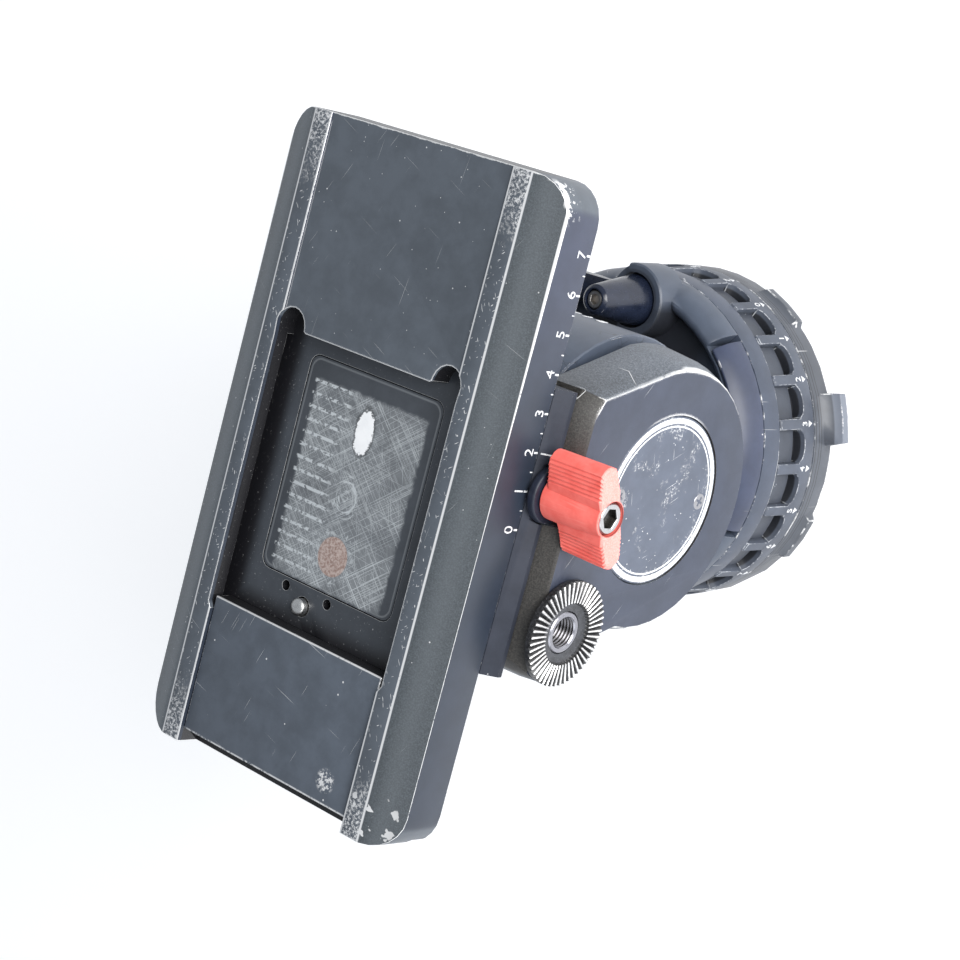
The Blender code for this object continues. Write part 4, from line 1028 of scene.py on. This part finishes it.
def build_ring(white):
    """Grip ring: a plain numbered band, then ribs with scooped hollows that end in a deep pocket."""
    low, high, radius, band = RING_LOW.z, RING_HIGH.z, RING_HIGH.x, RING_BAND
    depth, rib_half, wall, cells = 6.2, 1.75, 0.5, 10
    half_pocket = RING_PITCH / 2.0 - rib_half - wall
    offsets = [-rib_half, rib_half, rib_half + wall * 0.5]
    offsets += [rib_half + wall + 2.0 * half_pocket * k / cells for k in range(cells + 1)]
    offsets.append(RING_PITCH - rib_half - wall * 0.5)

    def bow(offset):
        """0 at the sides of a hollow and on the ribs, 1 in the middle of a hollow."""
        u = (offset - RING_PITCH / 2.0) / half_pocket
        return math.sqrt(max(0.0, 1.0 - u * u)) if abs(u) < 1.0 else 0.0

    def loop(rib_r, hollow_r, height, drop=0.0):
        points = []
        for k in range(int(360.0 / RING_PITCH)):
            for offset in offsets:
                hollow = rib_half < offset < RING_PITCH - rib_half
                r = hollow_r if hollow else rib_r
                a = math.radians(RING_PHASE + k * RING_PITCH + offset)
                points.append((r * math.cos(a), r * math.sin(a), height - drop * bow(offset)))
        return points

    # each level: inset of the ribs, inset of the hollows, height, and drop in a hollow's middle
    levels = ((0.5, 0.5, low), (0.0, 0.0, low + 0.5), (0.0, 0.0, band - 2.2), (0.0, 0.05, band + 0.3, 2.0),
              (0.05, 3.7, band + 0.5, 1.8), (0.1, 3.9, band + 0.8), (0.15, 2.4, band + 1.1),
              (0.5, 2.2, high - 0.5), (0.9, 2.5, high), (depth, depth, high), (depth, depth, low))
    loops = [loop(radius - rib, radius - hollow, *rest) for rib, hollow, *rest in levels]
    build("drag_ring_grip", [loft(loops, closed=True)], ring_finish(), "pan_drag_ring",
          ROW_FRAME, ("pan_drag_ring",), width=0.16, angle=35.0, segments=1)

    # settings 0 to 7 three times round the band, each with an arrow towards the flange
    shapes = []
    for k in range(24):
        a = math.radians(RING_ZERO - RING_PITCH * k)
        outward, along = Vector((math.cos(a), math.sin(a), 0.0)), Vector((-math.sin(a), math.cos(a), 0.0))
        middle = outward * (radius + 0.03) + Z_UNIT * (band - 1.5)
        shapes.append(lettering(str(k % 8), 2.3, 0.1, middle, along, Z_UNIT))
        arrow = [middle - Z_UNIT * 1.8 + along * 0.95, middle - Z_UNIT * 1.8 - along * 0.95,
                 middle - Z_UNIT * 3.5]
        shapes.append(loft([[tuple(c + outward * lift) for c in arrow] for lift in (-0.3, 0.04)]))
    build("drag_ring_numerals", shapes, white, "pan_drag_ring", ROW_FRAME)


def build_housing():
    refine("pan_housing", "pan_housing_shell", housing_finish(), width=0.3, angle=35.0)
    panel = worn_grey("side_panel_finish", (0.033, 0.042, 0.076), 0.72)
    refine("housing_side_panel", "side_panel_shell", panel, width=0.2, angle=35.0)
    flange = worn_grey("flange_finish", (0.066, 0.073, 0.088), 0.62, (5.4, 6.6, 8.2), 52.0)
    for node, name, grey in (
            ("housing_skirt", "skirt_shell", worn_grey("skirt_finish", (0.044, 0.055, 0.082), 0.62)),
            ("base_flange", "base_flange_shell", flange),
            ("half_ball", "half_ball_shell", worn_grey("half_ball_finish", (0.052, 0.058, 0.068)))):
        refine(node, name, grey, width=0.3)


def build_knob():
    refine("pan_brake_lever", "pan_brake_knob", satin_black("knob_black", ROW_FRAME, 0.2, 0.62),
           width=0.35)
    low, high = [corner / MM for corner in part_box("pan_brake_screw")]
    centre = (low + high) / 2
    socket_screw("pan_brake_socket_screw", (centre.x, centre.y, high.z), (high.x - low.x) / 2, 1.35, "Z",
                 steel_finish("knob_screw_steel", (0.36, 0.34, 0.32), 0.35), "pan_brake",
                 "pan_brake_screw", ROW_FRAME)


def build_left_controls():
    black = satin_black("dial_black", TILT_FRAME, 0.42, 0.56)
    for node, name in (("tilt_drag_dial", "tilt_drag_wheel"), ("counterbalance_dial", "counterbalance_wheel"),
                       ("tilt_brake_lever", "tilt_brake_arm")):
        refine(node, name, black, width=0.3)


def build_drum_figures(white):
    """A row of worn figures along the drum, in front of the bracket."""
    angle, spacing = math.radians(-6.0), 5.0
    outward = Vector((0.0, math.cos(angle), math.sin(angle)))
    along = Vector((-1.0, 0.0, 0.0))
    shapes = []
    for k in range(4):
        middle = (outward * (DRUM_RADIUS + 0.02) + Vector((22.0 - spacing * k, 0.0, 0.0))
                  + TILT_ORIGIN / MM)
        shapes.append(lettering(str(k), 4.2, 0.12, middle, along, outward.cross(along)))
    build("drum_figures", shapes, white, "pan_body", ROW_FRAME)


def finish_remaining_nodes():
    """Give each CAD node that still shows a procedural material of its own kind."""
    dark = plain_finish("dark_inside_finish", (0.6, 4.0), 0.35, 0.7, (0.010, 0.010, 0.011),
                        (0.030, 0.030, 0.032), 0.6, (2.5, 0.3, 0.05))
    by_slot = {
        "bright_steel": steel_finish("plain_steel"), "black_anodised": satin_black("hidden_black", rough=0.4),
        "white_slide_plastic": plain_finish("slide_plastic_finish", (0.5,), 0.35, 0.7, (0.62, 0.60, 0.55),
                                            (0.78, 0.77, 0.73), 0.4, (2.0, 0.1, 0.03)),
        "level_glass": plain_finish("level_finish", (0.2,), 0.3, 0.7, (0.50, 0.80, 0.16), (0.60, 0.86, 0.22),
                                    0.08, (0.5, 0.02, 0.01), ior=1.46, coat_weight=0.6),
        "anodised_blue_grey": worn_grey("plain_blue_grey", BLUE_GREY),
        "olive_grey_casting": worn_grey("plain_olive", OLIVE),
        "dark_casting": dark, "grip_plastic": dark, "label_plate": dark, "red_lever_plastic": dark}
    brushed = steel_finish("rail_steel", (0.50, 0.50, 0.51), 0.34, 0.6)
    slots = {entry["node"]: entry["material_slot"] for entry in frame["record"]["subparts"]}
    for name, obj in frame["nodes"].items():
        if not obj.hide_render:
            obj.data.materials.clear()
            obj.data.materials.append(brushed if name == "dovetail_rail" else by_slot[slots[name]])


# ---- studio -----------------------------------------------------------------------------------
def area_light(name, direction, distance, size, power, colour):
    target = Vector((0.0, 0.0, 0.09))
    data = bpy.data.lights.new(name, "AREA")
    data.shape = "DISK"
    data.size = size
    data.energy = power
    data.color = colour
    lamp = bpy.data.objects.new(name, data)
    lamp.location = target + Vector(direction).normalized() * distance
    lamp.rotation_euler = (target - lamp.location).to_track_quat("-Z", "Y").to_euler()
    bpy.context.scene.collection.objects.link(lamp)


def build_studio():
    floor_finish = Paint("floor_finish")
    tone = floor_finish.mix(floor_finish.noise(0.004), (0.93, 0.93, 0.935), (0.95, 0.95, 0.955))
    floor_finish.output(tone, 0.6, emission_color=(1.0, 1.0, 1.0, 1.0), emission_strength=0.25)
    bm = bmesh.new()
    bmesh.ops.create_grid(bm, x_segments=8, y_segments=8, size=4.0)
    mesh = bpy.data.meshes.new("studio_floor")
    bm.to_mesh(mesh)
    bm.free()
    mesh.materials.append(floor_finish.material)
    floor = bpy.data.objects.new("studio_floor", mesh)
    floor.location.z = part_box("tie_down_stud")[0].z - 0.0005
    bpy.context.scene.collection.objects.link(floor)

    world = bpy.data.worlds.new("studio_world")
    world.use_nodes = True
    background = world.node_tree.nodes["Background"]
    background.inputs["Color"].default_value = (0.88, 0.93, 1.0, 1.0)
    background.inputs["Strength"].default_value = 0.5
    bpy.context.scene.world = world
    area_light("key", (0.85, 0.40, 0.45), 1.3, 1.0, 26.0, (1.0, 0.99, 0.975))
    area_light("fill", (0.65, -0.75, 0.45), 1.4, 1.2, 7.0, (0.96, 0.98, 1.0))
    bpy.context.scene.view_settings.view_transform = "Standard"


def place_camera():
    """Looks down on the head from its right and front, rolled so that +Y runs up the picture."""
    location = Vector((0.40785, 0.14098, 0.58509))
    right = Vector((0.7239, 0.1937, -0.6622))
    up = Vector((-0.2988, 0.9531, -0.0479))
    back = right.cross(up)
    data = bpy.data.cameras.new("camera")
    data.lens = 89.87
    camera = bpy.data.objects.new("camera", data)
    turn = Matrix((right, up, back)).transposed()
    camera.matrix_world = Matrix.Translation(location) @ turn.to_4x4()
    bpy.context.scene.collection.objects.link(camera)
    bpy.context.scene.camera = camera


white_print = plain_finish("white_print_finish", (1.2, 3.0, 0.7), 0.35, 0.62, (0.42, 0.43, 0.45),
                           (0.80, 0.81, 0.82), 0.5, (2.0, 0.1, 0.02))
build_platform(white_print)
build_cheeks()
build_index(white_print)
build_rosettes()
build_lever()
build_disc(white_print)
build_ring(white_print)
build_housing()
build_knob()
build_left_controls()
build_drum_figures(white_print)
finish_remaining_nodes()
build_studio()
place_camera()
